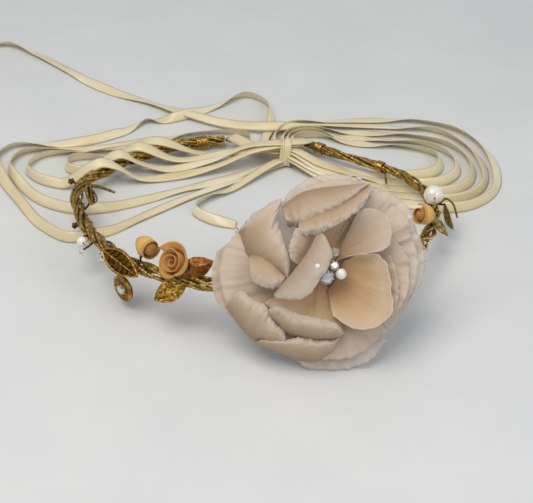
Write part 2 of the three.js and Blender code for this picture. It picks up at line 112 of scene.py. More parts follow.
# Matt white laminate, with the faintest grain.
TABLE_HALF = 1.5
table_material = mottled("white_laminate", ["#d6dadb", "#dde0e1"], 60 * MM, 0.02 * MM, {"Roughness": 0.55})
table_mesh = bpy.data.meshes.new("table")
table_mesh.from_pydata(
    [(x * TABLE_HALF, y * TABLE_HALF, 0) for x, y in [(-1, -1), (1, -1), (1, 1), (-1, 1)]], [], [(0, 1, 2, 3)]
)
table_mesh.materials.append(table_material)
table = bpy.data.objects.new("table", table_mesh)
bpy.context.collection.objects.link(table)

bpy.context.scene.view_settings.view_transform = "Standard"
room = bpy.data.worlds.new("room")
bpy.context.scene.world = room
room.use_nodes = True
room.node_tree.nodes["Background"].inputs["Color"].default_value = linear("#f3f4f8")
room.node_tree.nodes["Background"].inputs["Strength"].default_value = 0.46


def soft_lamp(name, at, size, power, colour):
    """A square lamp that faces the crown."""
    lamp = bpy.data.lights.new(name, "AREA")
    lamp.size = size
    lamp.energy = power
    lamp.color = linear(colour)[:3]
    holder = bpy.data.objects.new(name, lamp)
    holder.location = at
    holder.rotation_euler = (-Vector(at)).to_track_quat("-Z", "Y").to_euler()
    bpy.context.collection.objects.link(holder)


soft_lamp("ceiling_lamp", (-0.2, -0.3, 0.85), 0.6, 5.0, "#fff8ee")
soft_lamp("window_lamp", (0.8, -0.7, 0.7), 0.6, 3, "#f2f5ff")

# The ring's middle, a little off the middle of its wire's box, because the vine isn't quite even.
wire_low, wire_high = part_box("core_wire")
ring = (wire_low + wire_high) / 2 + Vector((1.48, 0.81, -0.7)) * MM

CAMERA_DISTANCE = 0.8
CAMERA_RISE = math.radians(34)
aim = ring + Vector((4.4, -11.3, -16.75)) * MM
camera_lens = bpy.data.cameras.new("camera")
camera_lens.lens = 116.2
camera = bpy.data.objects.new("camera", camera_lens)
camera.location = aim + CAMERA_DISTANCE * Vector((0, -math.cos(CAMERA_RISE), math.sin(CAMERA_RISE)))
camera.rotation_euler = (math.pi / 2 - CAMERA_RISE, 0, 0)
bpy.context.collection.objects.link(camera)
bpy.context.scene.camera = camera

# ---------- the satin ribbons ----------
# Two lengths of ivory double-faced satin ribbon, each tied to one eye of the ring. They run back and
# forth through the tie, between loops that lie on the table at the left and at the right.
RIBBON_WIDTH = 5.5 * MM
RIBBON_THICKNESS = 0.3 * MM
TIE_PLACE = (13.6, 61)
TIE_LEVEL_PITCH = 1.3
TIE_LOWEST_LEVEL = 1.6


def through_tie(level):
    """Where a run of ribbon passes through the tie, each run on its own level."""
    return (*TIE_PLACE, TIE_LOWEST_LEVEL + TIE_LEVEL_PITCH * level)


# Across and away from the ring's middle, and height above the table, in millimetres.
RIBBON_LEFT = [
    (-13.7, 79.9, 5.4), (-11.4, 76, 6.8), (-3, 67.4, 7.2), (7, 62, 7.8), through_tie(5), (30, 56.5, 4),
    (54, 50.5, 1.4), (75, 47, 0.9), (89, 53, 0.9), (90, 66, 0.9), (74, 76, 0.9), (50, 81, 0.9),
    (31, 86.5, 1.2), (17.6, 84.4, 2.6), (16.4, 75, 5.4), (20.4, 68.4, 9), (20, 63.4, 11), through_tie(8),
    (-2, 58.4, 10), (-20, 54, 4), (-40, 48.5, 1.4), (-58, 44.5, 2.6), (-68, 42, 10.4),
    (-75.5, 39.8, 14.2), (-84, 38.5, 10), (-95, 39.5, 2.4), (-107, 44, 0.9), (-114, 54, 0.9),
    (-108, 66, 0.9), (-90, 71, 1.2), (-68, 71.5, 5), (-50, 67, 10.6), (-30, 66, 4.4), (-8, 63, 6),
  through_tie(6), (31, 51.5, 4), (52, 43.5, 1.3), (72, 34.5, 0.9), (91, 32, 0.9), (104, 42, 0.9),
    (106, 60, 0.9), (97, 77, 0.9), (77, 88, 0.9), (52, 91.5, 0.9), (30, 93.5, 1), (14, 88, 2),
    (11.4, 75, 2), (17, 68, 1.6), (20.4, 64, 1.6), (17.6, 61.4, 1.6), through_tie(0), (3, 55, 1),
    (-12, 44.5, 0.9), (-33, 30, 0.9), (-55, 12, 0.9), (-73, -3, 0.9), (-88, -8, 0.9), (-101, 4, 0.9),
    (-114, 26, 0.9),
    (-126, 48, 0.9), (-131, 64, 0.9), (-125, 76, 0.9), (-109, 80, 0.9), (-90, 81, 0.9), (-72, 90, 0.9),
    (-58, 103, 0.9), (-41, 106, 0.9), (-22, 120, 0.9), (-6, 129, 0.9), (5, 119, 0.9), (7, 102, 1),
    (3.6, 84, 2), (3.4, 73, 4), (7, 64.6, 5.4), through_tie(3), (33, 45.5, 2), (56, 32, 0.9),
    (78, 21, 0.9), (98, 18, 0.9), (113, 30, 0.9), (118, 51, 0.9), (114, 75, 0.9), (102, 93, 0.9),
    (82, 103, 0.9), (58, 104.5, 0.9), (36, 102.5, 0.9), (17, 97, 1), (8, 86, 1.6), (8.4, 75, 3),
    (14.4, 69.4, 4), (18.8, 65, 4.4), (18, 62.2, 4.3), through_tie(2), (7.6, 56.4, 4), (-12, 38, 0.9),
    (-25, 26, 0.9), (-30, 16, 0.9), (-22, 8, 0.9), (-10, 5, 0.9),
]
RIBBON_RIGHT = [
    (21.6, 78.4, 4), (22.6, 74, 6.8), (25, 68, 10.4), (21.6, 62.8, 12.8), through_tie(9),
    (-4, 61.4, 11), (-24, 57.5, 5), (-44, 54, 2), (-58, 52.2, 6.6), (-67.5, 50, 13), (-82, 50, 3.8),
    (-94, 54.5, 0.9), (-93, 63, 0.9), (-78, 65, 2), (-67, 62.6, 7), (-58.6, 60.6, 11), (-40, 60.5, 3.6),
    (-14, 61, 7.6), through_tie(7), (31, 54, 5.4), (53, 47.3, 1.5), (73, 40.6, 0.9), (89, 41, 0.9),
    (98, 50, 0.9), (98, 64, 0.9), (86, 77, 0.9), (64, 84, 0.9), (44, 87, 0.9), (29, 90.2, 1),
    (15.6, 86, 2.2), (13.9, 75, 2.8), (18, 68, 2.9), (19.4, 63.2, 2.9), through_tie(1), (-3, 53.6, 1.4),
    (-16, 45.5, 1), (-38, 36, 0.9), (-62, 23, 0.9), (-84, 16.5, 0.9), (-102, 24, 0.9),
    (-115, 40, 0.9), (-123, 56, 0.9), (-119, 69, 0.9), (-103, 74.5, 0.9), (-80, 76, 0.9),
    (-60, 80, 0.9), (-38, 88.5, 0.9), (-20, 90.5, 0.9), (-4, 86, 2.4), (-0.6, 74, 5.4),
    (4.6, 65, 6.6), through_tie(4), (32, 48.6, 3.2), (54, 38, 0.9), (75, 27.5, 0.9), (95, 25, 0.9),
    (109, 36, 0.9), (112, 56, 0.9), (106, 76, 0.9), (92, 91, 0.9), (70, 97, 0.9), (46, 98, 1.6),
    (25, 95.6, 3.4), (8, 92.4, 4.4), (-14, 97, 3), (-36, 108, 2.8), (-57, 123, 1.2), (-85, 140, 0.9),
    (-104, 160, 0.9), (-125, 180, 0.9), (-140, 188.5, 0.9), (-156, 187.5, 0.9),
]


def smooth_line(points, step):
    """Points a step apart along a smooth curve through the given ones."""
    given = np.array(points, float)
    given = np.vstack([2 * given[0] - given[1], given, 2 * given[-1] - given[-2]])
    pieces = []
    for p0, p1, p2, p3 in zip(given, given[1:], given[2:], given[3:]):
        t1 = math.sqrt(np.linalg.norm(p1 - p0))
        t2 = t1 + math.sqrt(np.linalg.norm(p2 - p1))
        t3 = t2 + math.sqrt(np.linalg.norm(p3 - p2))
        t = np.linspace(t1, t2, 24, endpoint=False)[:, None]
        a1 = (t1 - t) / t1 * p0 + t / t1 * p1
        a2 = (t2 - t) / (t2 - t1) * p1 + (t - t1) / (t2 - t1) * p2
        a3 = (t3 - t) / (t3 - t2) * p2 + (t - t2) / (t3 - t2) * p3
        b1 = (t2 - t) / t2 * a1 + t / t2 * a2
        b2 = (t3 - t) / (t3 - t1) * a2 + (t - t1) / (t3 - t1) * a3
        pieces.append((t2 - t) / (t2 - t1) * b1 + (t - t1) / (t2 - t1) * b2)
    fine = np.concatenate([*pieces, given[-2:-1]])
    run = np.concatenate([[0], np.cumsum(np.linalg.norm(np.diff(fine, axis=0), axis=1))])
    stops = np.linspace(0, run[-1], max(2, round(run[-1] / step)) + 1)
    return np.stack([np.interp(stops, run, fine[:, axis]) for axis in range(3)], axis=1)


def unit(vectors):
    return vectors / np.maximum(np.linalg.norm(vectors, axis=-1, keepdims=True), 1e-12)


def surface(name, points, material, around=False, caps=False, lengths=(1, 1)):
    """A smooth mesh through rows of points. Its UV map runs from 0 to lengths along and across."""
    rows, columns = points.shape[:2]
    wraps = columns if around else columns - 1
    quads, corners = [], []
    for i in range(rows - 1):
        for j in range(wraps):
            k = (j + 1) % columns
            quads.append((i * columns + j, i * columns + k, (i + 1) * columns + k, (i + 1) * columns + j))
            corners += [(i, j), (i, j + 1), (i + 1, j + 1), (i + 1, j)]
    if caps:
        for i in (0, rows - 1):
            quads.append([i * columns + j for j in range(columns)])
            corners += [(i, j) for j in range(columns)]
    mesh = bpy.data.meshes.new(name)
    mesh.from_pydata(points.reshape(-1, 3).tolist(), [], quads)
    layer = mesh.uv_layers.new(name="UVMap")
    scale = (lengths[0] / (rows - 1), lengths[1] / wraps)
    flat = np.array([(i * scale[0], j * scale[1]) for i, j in corners])
    layer.data.foreach_set("uv", flat.ravel())
    mesh.shade_smooth()
    mesh.materials.append(material)
    made = bpy.data.objects.new(name, mesh)
    bpy.context.collection.objects.link(made)
    if caps:
        outward_faces(made)
    return made


def outward_faces(made, merge=0.0):
    """Turns a closed mesh's faces outward, after its doubles are merged."""
    shape = bmesh.new()
    shape.from_mesh(made.data)
    if merge:
        bmesh.ops.remove_doubles(shape, verts=shape.verts, dist=merge)
    bmesh.ops.recalc_face_normals(shape, faces=shape.faces)
    shape.to_mesh(made.data)
    shape.free()


def thicken(made, thickness):
    wall = made.modifiers.new("wall", "SOLIDIFY")
    wall.thickness = thickness
    wall.offset = 0


# Polyester satin, woven: a soft sheen along the ribbon, with fine ribs across it. The real ribs are
# 0.2 mm apart and are drawn three times as coarse, to show. A selvedge edges each side.
def satin_finish():
    material, tree, shader = new_material(
        "ivory_satin",
        {"Roughness": 0.34, "Anisotropic": 0.55, "Sheen Weight": 0.25, "Specular IOR Level": 0.6},
    )
    place = add_node(tree, "ShaderNodeUVMap").outputs["UV"]
    rib_map = add_node(tree, "ShaderNodeMapping", {"Scale": (1.0, 0.02, 1.0)}, {"Vector": place})
    ribs = add_node(
        tree,
        "ShaderNodeTexWave",
        {"Scale": 0.314 / (0.6 * MM), "Distortion": 0.6, "Detail": 1.0},
        {"Vector": rib_map.outputs["Vector"]},
        bands_direction="X",
    )
    drift_map = add_node(tree, "ShaderNodeMapping", {"Scale": (1.0, 4.0, 1.0)}, {"Vector": place})
    drift = add_node(
        tree, "ShaderNodeTexNoise", {"Scale": 1 / (45 * MM), "Detail": 3.0}, {"Vector": drift_map.outputs[0]}
    )
    colour = colour_ramp(tree, drift.outputs["Fac"], ["#d6c698", "#e3d7b1", "#eee6cb"])
    across = add_node(tree, "ShaderNodeSeparateXYZ", links={"Vector": place}).outputs["Y"]
    off_middle = add_node(tree, "ShaderNodeMath", {1: RIBBON_WIDTH / 2}, {0: across}, operation="SUBTRACT")
    edge = add_node(tree, "ShaderNodeMath", links={0: off_middle.outputs[0]}, operation="ABSOLUTE")
    selvedge = add_node(
        tree, "ShaderNodeMath", {1: 0.43 * RIBBON_WIDTH}, {0: edge.outputs[0]}, operation="GREATER_THAN"
    )
    woven = add_node(
        tree,
        "ShaderNodeMix",
        {"B": linear("#cdb987")},
        {"Factor": selvedge.outputs[0], "A": colour},
        data_type="RGBA",
    )
    tree.links.new(woven.outputs["Result"], shader.inputs["Base Color"])
    bump = add_node(
        tree, "ShaderNodeBump", {"Strength": 0.5, "Distance": 0.04 * MM}, {"Height": ribs.outputs["Fac"]}
    )
    tree.links.new(bump.outputs["Normal"], shader.inputs["Normal"])
    return material


satin = satin_finish()
RIBBON_STEP = 1.2 * MM
CALM_NEAR_TIE = 26 * MM


def lay_ribbon(name, route):
    """A flat ribbon along its route. Where it turns it leans on its edge, as a ribbon has to."""
    placed = [(x * MM + ring.x, y * MM + ring.y, height * MM) for x, y, height in route]
    line = smooth_line(placed, RIBBON_STEP)
    forward = unit(np.gradient(line, axis=0))
    heading = np.unwrap(np.arctan2(forward[:, 1], forward[:, 0]))
    window = np.ones(15) / 15
    turning = np.convolve(np.gradient(heading) / RIBBON_STEP, window, mode="same")
    lean = np.clip(turning * 0.035, -1.15, 1.15)
    wander = np.array([noise.noise(Vector(point) / (38 * MM)) for point in line])
    lean = lean + 0.5 * wander
    tie_distance = np.linalg.norm(line[:, :2] - np.array(ring)[:2] - np.array(TIE_PLACE) * MM, axis=1)
    calm = np.clip(tie_distance / CALM_NEAR_TIE, 0, 1) ** 2
    lean = np.convolve(lean * calm, window, mode="same")
    side = unit(np.cross([0, 0, 1], forward))
    across = side * np.cos(lean)[:, None] + np.cross(forward, side) * np.sin(lean)[:, None]
    resting = RIBBON_WIDTH / 2 * np.abs(across[:, 2]) + RIBBON_THICKNESS
    line[:, 2] = np.maximum(line[:, 2], resting)
    face = np.cross(forward, across)
    shares = np.linspace(-1, 1, 5)
    crown = 0.25 * MM * (1 - shares**2)
    points = (
        line[:, None]
        + across[:, None] * (shares * RIBBON_WIDTH / 2)[None, :, None]
        + face[:, None] * crown[None, :, None]
    )
    length = float(np.linalg.norm(np.diff(line, axis=0), axis=1).sum())
    piece = surface(f"satin_{name}", points, satin, lengths=(length, RIBBON_WIDTH))
    thicken(piece, RIBBON_THICKNESS)
    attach(piece, "root")
    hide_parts(name)
    return piece, line, length


left_ribbon, left_line, left_length = lay_ribbon("ribbon_left", RIBBON_LEFT)
right_ribbon, right_line, right_length = lay_ribbon("ribbon_right", RIBBON_RIGHT)


# ---------- the tie ----------
# The end of a third piece of the same ribbon, wound three times round all the runs, so that they
# stay gathered. Its turns are pulled tight and crease where they pass over the edges.
tie_low, tie_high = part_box("ribbon_tie")
TIE_TURNS = 3
TIE_OVERLAP = 0.62


def wind_tie():
    middle = (tie_low + tie_high) / 2
    half_deep = (tie_high.y - tie_low.y) / 2 - 0.5 * MM
    half_tall = (tie_high.z - tie_low.z) / 2 - 0.5 * MM
    shift = (tie_high.x - tie_low.x) * TIE_OVERLAP / TIE_TURNS
    rows = []
    for i in range(TIE_TURNS * 48 + 1):
        turn = i / 48
        angle = math.tau * turn
        c, s = math.cos(angle), math.sin(angle)
        squared = (abs(c) ** 4 + abs(s) ** 4) ** -0.25
        loose = 1 - 0.035 * (TIE_TURNS - turn)
        centre = (turn - TIE_TURNS / 2) * shift
        row = []
        for j in range(9):
            across = (j / 8 - 0.5) * RIBBON_WIDTH * 0.62
            crease = 0.35 * MM * noise.noise(Vector((across / MM * 1.1, turn * 5, 3)))
            y = (half_deep * loose + crease) * c * squared
            z = (half_tall * loose + crease) * s * squared
            row.append((middle.x + centre + across + 0.8 * MM * math.sin(angle), middle.y + y, middle.z + z))
        rows.append(row)
    return np.array(rows)


tie = surface("satin_tie", wind_tie(), satin, lengths=(110 * MM, RIBBON_WIDTH))
thicken(tie, RIBBON_THICKNESS)
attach(tie, "root")
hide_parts("ribbon_tie")

# ---------- the vine ----------
# A springy steel wire in brown paper, with three strands wound round it. Each strand is a bundle of
# foil-wrapped paper cords in antique gold, dull on the ridges and dark in the grooves.
# Across and away from the ring's middle, and lift above the ring's plane, in millimetres.
VINE_LINE = [
    (-17, 79, 0), (-32, 75, 0), (-48, 67.5, 0), (-63, 55.5, 0), (-75, 41, 0), (-83, 28, 0),
    (-85, 14, 0), (-83, 0, 0), (-79, -15, 0.2), (-72.5, -31, 1), (-64, -46.5, 1.8), (-53, -60, 2),
    (-38, -70.5, 2), (-20, -77.5, 1.6), (0, -80.5, 1), (20, -79, 0.5), (40, -72, 0), (58, -59, 0),
    (71, -42, 0), (79, -22, 0), (82, -2, 0), (79.5, 18, 0), (74.5, 29, 0), (69, 38, 0),
    (61, 45.5, 0), (51, 53.5, 0), (41, 60.5, 0), (32, 68, 0), (24, 76, 0),
]
RING_SLOPE = math.tan(math.radians(7))  # the ring's front stands higher than its back
VINE_TURNS = 9
WIRE_RADIUS = 0.6 * MM


def antique_gold(name, colours, groove, values=None):
    """Brass foil, toned dark and rubbed bright: the real foil is brightest on raised spots and brown in
    the hollows, and here its colour drifts in random patches between those tones.
    """
    settings = {"Metallic": 0.82, "Roughness": 0.42}
    return mottled(name, colours, groove, 0.12 * MM, {**settings, **(values or {})})


vine_gold = antique_gold("antique_gold_foil", ["#4a3714", "#8e7030", "#bd9c4c", "#dcc27a"], 2.2 * MM)
core_paper = mottled("brown_wire_paper", ["#5a4324", "#7c6036"], 1.5 * MM, 0.05 * MM, {"Roughness": 0.8})


def wound_cord_tree():
    """A cord that winds round a line: its orbit goes from one size to another between three quarters and
    nine tenths of the way along, and its own thickness rises and falls with the turns of the foil round it."""
    tree = bpy.data.node_groups.new("wound_cord", "GeometryNodeTree")
    tree.interface.new_socket("Line", in_out="INPUT", socket_type="NodeSocketGeometry")
    for name in ("Turns", "Phase", "Orbit Start", "Orbit End", "Cord Radius", "Wraps", "Wrap Relief"):
        tree.interface.new_socket(name, in_out="INPUT", socket_type="NodeSocketFloat")
    tree.interface.new_socket("Points", in_out="INPUT", socket_type="NodeSocketInt")
    tree.interface.new_socket("Finish", in_out="INPUT", socket_type="NodeSocketMaterial")
    tree.interface.new_socket("Cord", in_out="OUTPUT", socket_type="NodeSocketGeometry")
    given = tree.nodes.new("NodeGroupInput").outputs
    curve = add_node(tree, "GeometryNodeMeshToCurve", links={"Mesh": given["Line"]})
    even = add_node(
        tree, "GeometryNodeResampleCurve", links={"Curve": curve.outputs[0], "Count": given["Points"]}
    )
    factor = add_node(tree, "GeometryNodeSplineParameter").outputs["Factor"]
    turned = add_node(
        tree,
        "ShaderNodeMath",
        links={0: factor, 1: given["Turns"], 2: given["Phase"]},
        operation="MULTIPLY_ADD",
    )
    angle = add_node(tree, "ShaderNodeMath", {1: math.tau}, {0: turned.outputs[0]}, operation="MULTIPLY")
    orbit = add_node(
        tree,
        "ShaderNodeMapRange",
        {"From Min": 0.75, "From Max": 0.9},
        {"Value": factor, "To Min": given["Orbit Start"], "To Max": given["Orbit End"]},
    )
    arm = add_node(
        tree,
        "ShaderNodeVectorRotate",
        links={
            "Vector": add_node(tree, "GeometryNodeInputNormal").outputs["Normal"],
            "Axis": add_node(tree, "GeometryNodeInputTangent").outputs["Tangent"],
            "Angle": angle.outputs[0],
        },
    )
    offset = add_node(
        tree,
        "ShaderNodeVectorMath",
        links={0: arm.outputs["Vector"], "Scale": orbit.outputs["Result"]},
        operation="SCALE",
    )
    wound = add_node(
        tree,
        "GeometryNodeSetPosition",
        links={"Geometry": even.outputs["Curve"], "Offset": offset.outputs["Vector"]},
    )
    wrap_angle = add_node(
        tree, "ShaderNodeMath", links={0: factor, 1: given["Wraps"]}, operation="MULTIPLY"
    )
    wave = add_node(tree, "ShaderNodeMath", links={0: wrap_angle.outputs[0]}, operation="SINE")
    swell = add_node(
        tree,
        "ShaderNodeMath",
        {2: 1.0},
        {0: wave.outputs[0], 1: given["Wrap Relief"]},
        operation="MULTIPLY_ADD",
    )
    section = add_node(
        tree, "GeometryNodeCurvePrimitiveCircle", {"Resolution": 8}, {"Radius": given["Cord Radius"]}
    )
    body = add_node(
        tree,
        "GeometryNodeCurveToMesh",
        {"Fill Caps": True},
        {
            "Curve": wound.outputs["Geometry"],
            "Profile Curve": section.outputs["Curve"],
            "Scale": swell.outputs[0],
        },
    )
    whole = add_node(tree, "GeometryNodeRealizeInstances", links={"Geometry": body.outputs["Mesh"]})
    dressed = add_node(
        tree,
        "GeometryNodeSetMaterial",
        links={"Geometry": whole.outputs["Geometry"], "Material": given["Finish"]},
    )
    add_node(tree, "NodeGroupOutput", links={"Cord": dressed.outputs["Geometry"]})
    return tree


def from_nodes(name, tree, line, inputs):
    """The plain mesh that a geometry tree makes from a line, with its inputs set by name."""
    start = bpy.data.meshes.new(f"{name}_line")
    start.from_pydata([tuple(p) for p in line], [(i, i + 1) for i in range(len(line) - 1)], [])
    carrier = bpy.data.objects.new(f"{name}_line", start)
    bpy.context.collection.objects.link(carrier)
    maker = carrier.modifiers.new("maker", "NODES")
    maker.node_group = tree
    sockets = {s.name: s.identifier for s in tree.interface.items_tree if s.in_out == "INPUT"}
    for label, value in inputs.items():
        maker[sockets[label]] = value
    graph = bpy.context.evaluated_depsgraph_get()
    mesh = bpy.data.meshes.new_from_object(carrier.evaluated_get(graph), depsgraph=graph)
    mesh.name = name
    mesh.shade_smooth()
    bpy.data.objects.remove(carrier)
    made = bpy.data.objects.new(name, mesh)
    bpy.context.collection.objects.link(made)
    outward_faces(made)
    return made


def joined(name, pieces):
    """Several meshes as one object."""
    whole = bmesh.new()
    materials = []
    for piece in pieces:
        slots = []
        for material in piece.data.materials:
            if material not in materials:
                materials.append(material)
            slots.append(materials.index(material))
        before = len(whole.faces)
        whole.from_mesh(piece.data)
        whole.faces.ensure_lookup_table()
        for face in whole.faces[before:]:
            face.material_index = slots[face.material_index] if slots else 0
        bpy.data.objects.remove(piece)
    mesh = bpy.data.meshes.new(name)
    whole.to_mesh(mesh)
    whole.free()
    for material in materials:
        mesh.materials.append(material)
    made = bpy.data.objects.new(name, mesh)
    bpy.context.collection.objects.link(made)
    return made


def fit(made, body, slot, *nodes):
    """The piece rides on its body and stands for its CAD nodes, which it hides. Its slot is not used."""
    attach(made, body)
    if nodes:
        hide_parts(*nodes)


wound_cord = wound_cord_tree()
vine_line = smooth_line(
    [(ring.x + x * MM, ring.y + y * MM, ring.z + (lift - y * RING_SLOPE) * MM) for x, y, lift in VINE_LINE],
    1.5 * MM,
)


def vine_at(share):
    """The middle of the vine, and its direction, at a share of its length from the left end."""
    place = share * (len(vine_line) - 1)
    i = min(int(place), len(vine_line) - 2)
    along = unit(vine_line[i + 1] - vine_line[i])
    return Vector(vine_line[i] + (vine_line[i + 1] - vine_line[i]) * (place - i)), Vector(along)


CORDS_IN_STRAND = 3
for strand in range(3):
    cords = []
    for cord in range(CORDS_IN_STRAND):
        cords.append(
            from_nodes(
                f"cord_{strand}_{cord}",
                wound_cord,
                vine_line,
                {
                    "Turns": VINE_TURNS + 0.25 * math.sin(strand * 5 + cord * 3),
                    "Phase": strand / 3 + (cord - 1) * 0.1,
                    "Orbit Start": (1.9 + 0.35 * ((strand + 2 * cord) % 3)) * MM,
                    "Orbit End": (1.35 + 0.2 * cord) * MM,
                    "Cord Radius": 0.62 * MM,
                    "Wraps": 1500.0 + 130 * cord,
                    "Wrap Relief": 0.13,
                    "Points": 1500,
                    "Finish": vine_gold,
                },
            )
        )
    fit(joined(f"foil_strand_{strand + 1}", cords), "root", "antique_gold_vine", f"vine_strand_{strand + 1}")


def tube(name, points, radius, material, sides=8, step=0.4 * MM):
    """A wire along smooth points, all one radius or tapering from one radius to another."""
    line = smooth_line(points, step)
    forward = unit(np.gradient(line, axis=0))
    first, last = radius if hasattr(radius, "__len__") else (radius, radius)
    side = Vector(forward[0]).orthogonal().normalized()
    rows = []
    for i, (point, ahead) in enumerate(zip(line, forward)):
        ahead = Vector(ahead)
        side = (side - ahead * side.dot(ahead)).normalized()
        other = ahead.cross(side)
        size = first + (last - first) * i / (len(line) - 1)
        turn = [math.tau * k / sides for k in range(sides)]
        rows.append([Vector(point) + size * (side * math.cos(a) + other * math.sin(a)) for a in turn])
    return surface(name, np.array(rows), material, around=True, caps=True)


fit(
    tube("paper_core", vine_line[::6], WIRE_RADIUS, core_paper, step=1.5 * MM),
    "root",
    "steel_core_wire",
    "core_wire",
)

# ---------- the bindings and the ribbons' eyes ----------
# Fine gold-plated copper wire, wound close round the vine at both open ends and at a joint behind.
# The left-over wire is bent into an eye at each end, where a ribbon is tied.
wire_gold = mottled(
    "gold_plated_wire",
    ["#8c6a2e", "#c69c4c", "#ecd08c"],
    1.2 * MM,
    0.02 * MM,
    {"Metallic": 1.0, "Roughness": 0.28},
)


def wind_binding(name, share, length, orbit):
    middle, along = vine_at(share)
    spread = along * length / 2
    fit(
        from_nodes(
            f"wound_{name}",
            wound_cord,
            smooth_line([middle - spread, middle, middle + spread], 0.5 * MM),
            {
                "Turns": length / (0.72 * MM),
                "Phase": 0.0,
                "Orbit Start": orbit,
                "Orbit End": orbit,
                "Cord Radius": 0.34 * MM,
                "Wraps": 0.0,
                "Wrap Relief": 0.0,
                "Points": 400,
                "Finish": wire_gold,
            },
        ),
        "root",
        "gold_wire_binding",
        name,
    )


wind_binding("end_binding_left", 0.025, 5.6 * MM, 3.1 * MM)
wind_binding("end_binding_right", 0.978, 4.6 * MM, 2.6 * MM)
wind_binding("middle_binding", 0.9, 3.6 * MM, 2.6 * MM)

for side in ("left", "right"):
    eye_low, eye_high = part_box(f"ribbon_eye_{side}")
    centre = (eye_low + eye_high) / 2
    end, along = vine_at(0.0 if side == "left" else 1.0)
    out = (centre - end).normalized()
    across = Vector((-out.y, out.x, 0)).normalized()
    bend = [math.tau * (k / 24) for k in range(26)]
    loop = [centre + 2.3 * MM * (across * math.sin(a) - out * math.cos(a)) for a in bend]
    loop = [p + Vector((0, 0, 0.35 * MM * (i / 26 - 0.5))) for i, p in enumerate(loop)]
    fit(
        tube(f"wire_eye_{side}", [end - out * 2 * MM, *loop], 0.5 * MM, wire_gold),
        "root",
        "gold_wire_binding",
        f"ribbon_eye_{side}",
    )

# ---------- the open-work leaves ----------
# Cast brass leaves with open veins, toned dark and rubbed bright on their rims, soldered to the vine.
leaf_gold = antique_gold(
    "rubbed_cast_brass", ["#6b4616", "#a67a2c", "#e0b958"], 1.6 * MM, {"Roughness": 0.33}
)
vein_gold = antique_gold("toned_cast_brass", ["#2f1c08", "#5f4115", "#9a7130"], 1.2 * MM)


def placed(at, along, facing):
    """A piece's place: its +X along one direction, and its +Z as near as can be to another."""
    x = Vector(along).normalized()
    y = Vector(facing).cross(x).normalized()
    return Matrix.LocRotScale(
        ring + Vector(at) * MM, Matrix((x, y, x.cross(y))).transposed().to_quaternion(), None
    )


def moved(made, place):
    """Puts the place in the mesh itself, so that the object stays at the origin."""
    made.data.transform(place)
    return made


def openwork_leaf(name, length, width, place):
    half, rise = length / 2, width / 2

    def edge(u, side):
        x = half * (2 * u - 1)
        return Vector((x, side * rise * (1 - (x / half) ** 2), 0)) * MM

    rim = [edge(u, 1) for u in np.linspace(0, 1, 15)] + [edge(u, -1) for u in np.linspace(0.93, 0.03, 14)]
    bowed = [p + Vector((0, 0, 0.9 * MM * (1 - (p.x / MM / half) ** 2))) for p in rim]
    pieces = [tube(f"{name}_rim", bowed, 0.46 * MM, leaf_gold)]
    spine = [Vector((half * t, 0, 0.5)) * MM for t in np.linspace(-1, 1, 5)]
    pieces.append(tube(f"{name}_spine", spine, (0.42 * MM, 0.3 * MM), leaf_gold))
    for side in (-1, 1):
        for k in range(6):
            root = Vector((half * (-0.78 + 0.26 * k), 0, 0.45)) * MM
            tip = edge(0.26 + 0.125 * k, side * 0.93)
            middle = (root + tip) / 2 + Vector((1.1, -side * 0.45, 0.2)) * MM
            pieces.append(tube(f"{name}_vein", [root, middle, tip], 0.3 * MM, vein_gold, sides=6))
    across = np.linspace(-0.9, 0.9, 9)
    plate = [[edge(u, v) - Vector((0, 0, 0.25 * MM)) for v in across] for u in np.linspace(0.04, 0.96, 20)]
    backing = surface(f"{name}_plate", np.array(plate), vein_gold)
    thicken(backing, 0.3 * MM)
    pieces.append(with_modifiers(backing))
    fit(moved(joined(f"cast_{name}", pieces), place), "root", "cast_gold_leaf", name)


def with_modifiers(made):
    """The plain mesh of a piece, its modifiers applied."""
    graph = bpy.context.evaluated_depsgraph_get()
    mesh = bpy.data.meshes.new_from_object(made.evaluated_get(graph), depsgraph=graph)
    made.modifiers.clear()
    made.data = mesh
    return made


openwork_leaf(
    "openwork_leaf_front", 22, 9, placed((-58.8, -63.4, 12.6), (0.72, -0.66, -0.18), (-0.58, -0.5, 0.64))
)
openwork_leaf("openwork_leaf_side", 19, 7, placed((-77.7, 4, 4.6), (0.13, -0.98, 0.1), (0.75, 0.1, 0.65)))

# ---------- the plain leaves and the stems ----------
# A leaf of crinkled gold foil on paper under the rose, a toned leaf beside it, and two ribbed brass
# leaves at the right, on stems of the same covered wire that the vine is made of.
foil_gold = antique_gold(
    "crinkled_gold_foil", ["#5e3f10", "#b08930", "#f0d27a"], 1.1 * MM, {"Roughness": 0.25}
)
olive_gold = antique_gold("greenish_brass", ["#4a3d16", "#86753a", "#c4b87a"], 1.4 * MM)
bronze_gold = antique_gold("brown_bronze", ["#4c2a0a", "#7d4c16", "#a5702c"], 3 * MM, {"Metallic": 0.6})


def solid_leaf(name, length, width, bow, droop, ribs, crinkle, finish, place, slot):
    """A pointed leaf with a middle crease. Its ribs run from end to end."""
    rows = []
    for u in np.linspace(0.01, 0.99, 40):
        half = width / 2 * math.sin(math.pi * u) ** 0.8 * (1 - 0.25 * (u - 0.5))
        row = []
        for v in np.linspace(-1, 1, 33):
            z = bow * math.sin(math.pi * u) * (1 - abs(v)) + droop * (u - 0.5) ** 2 * 4 * -1
            z += 0.16 * math.cos(ribs * math.pi * v) if ribs else 0
            z += crinkle * noise.noise(Vector((u * 9, v * 4, length)))
            row.append(Vector(((u - 0.5) * length, half * v, z)) * MM)
        rows.append(row)
    made = surface(f"pressed_{name}", np.array(rows), finish)
    moved(made, place)
    thicken(made, 0.35 * MM)
    fit(made, "root", slot, name)


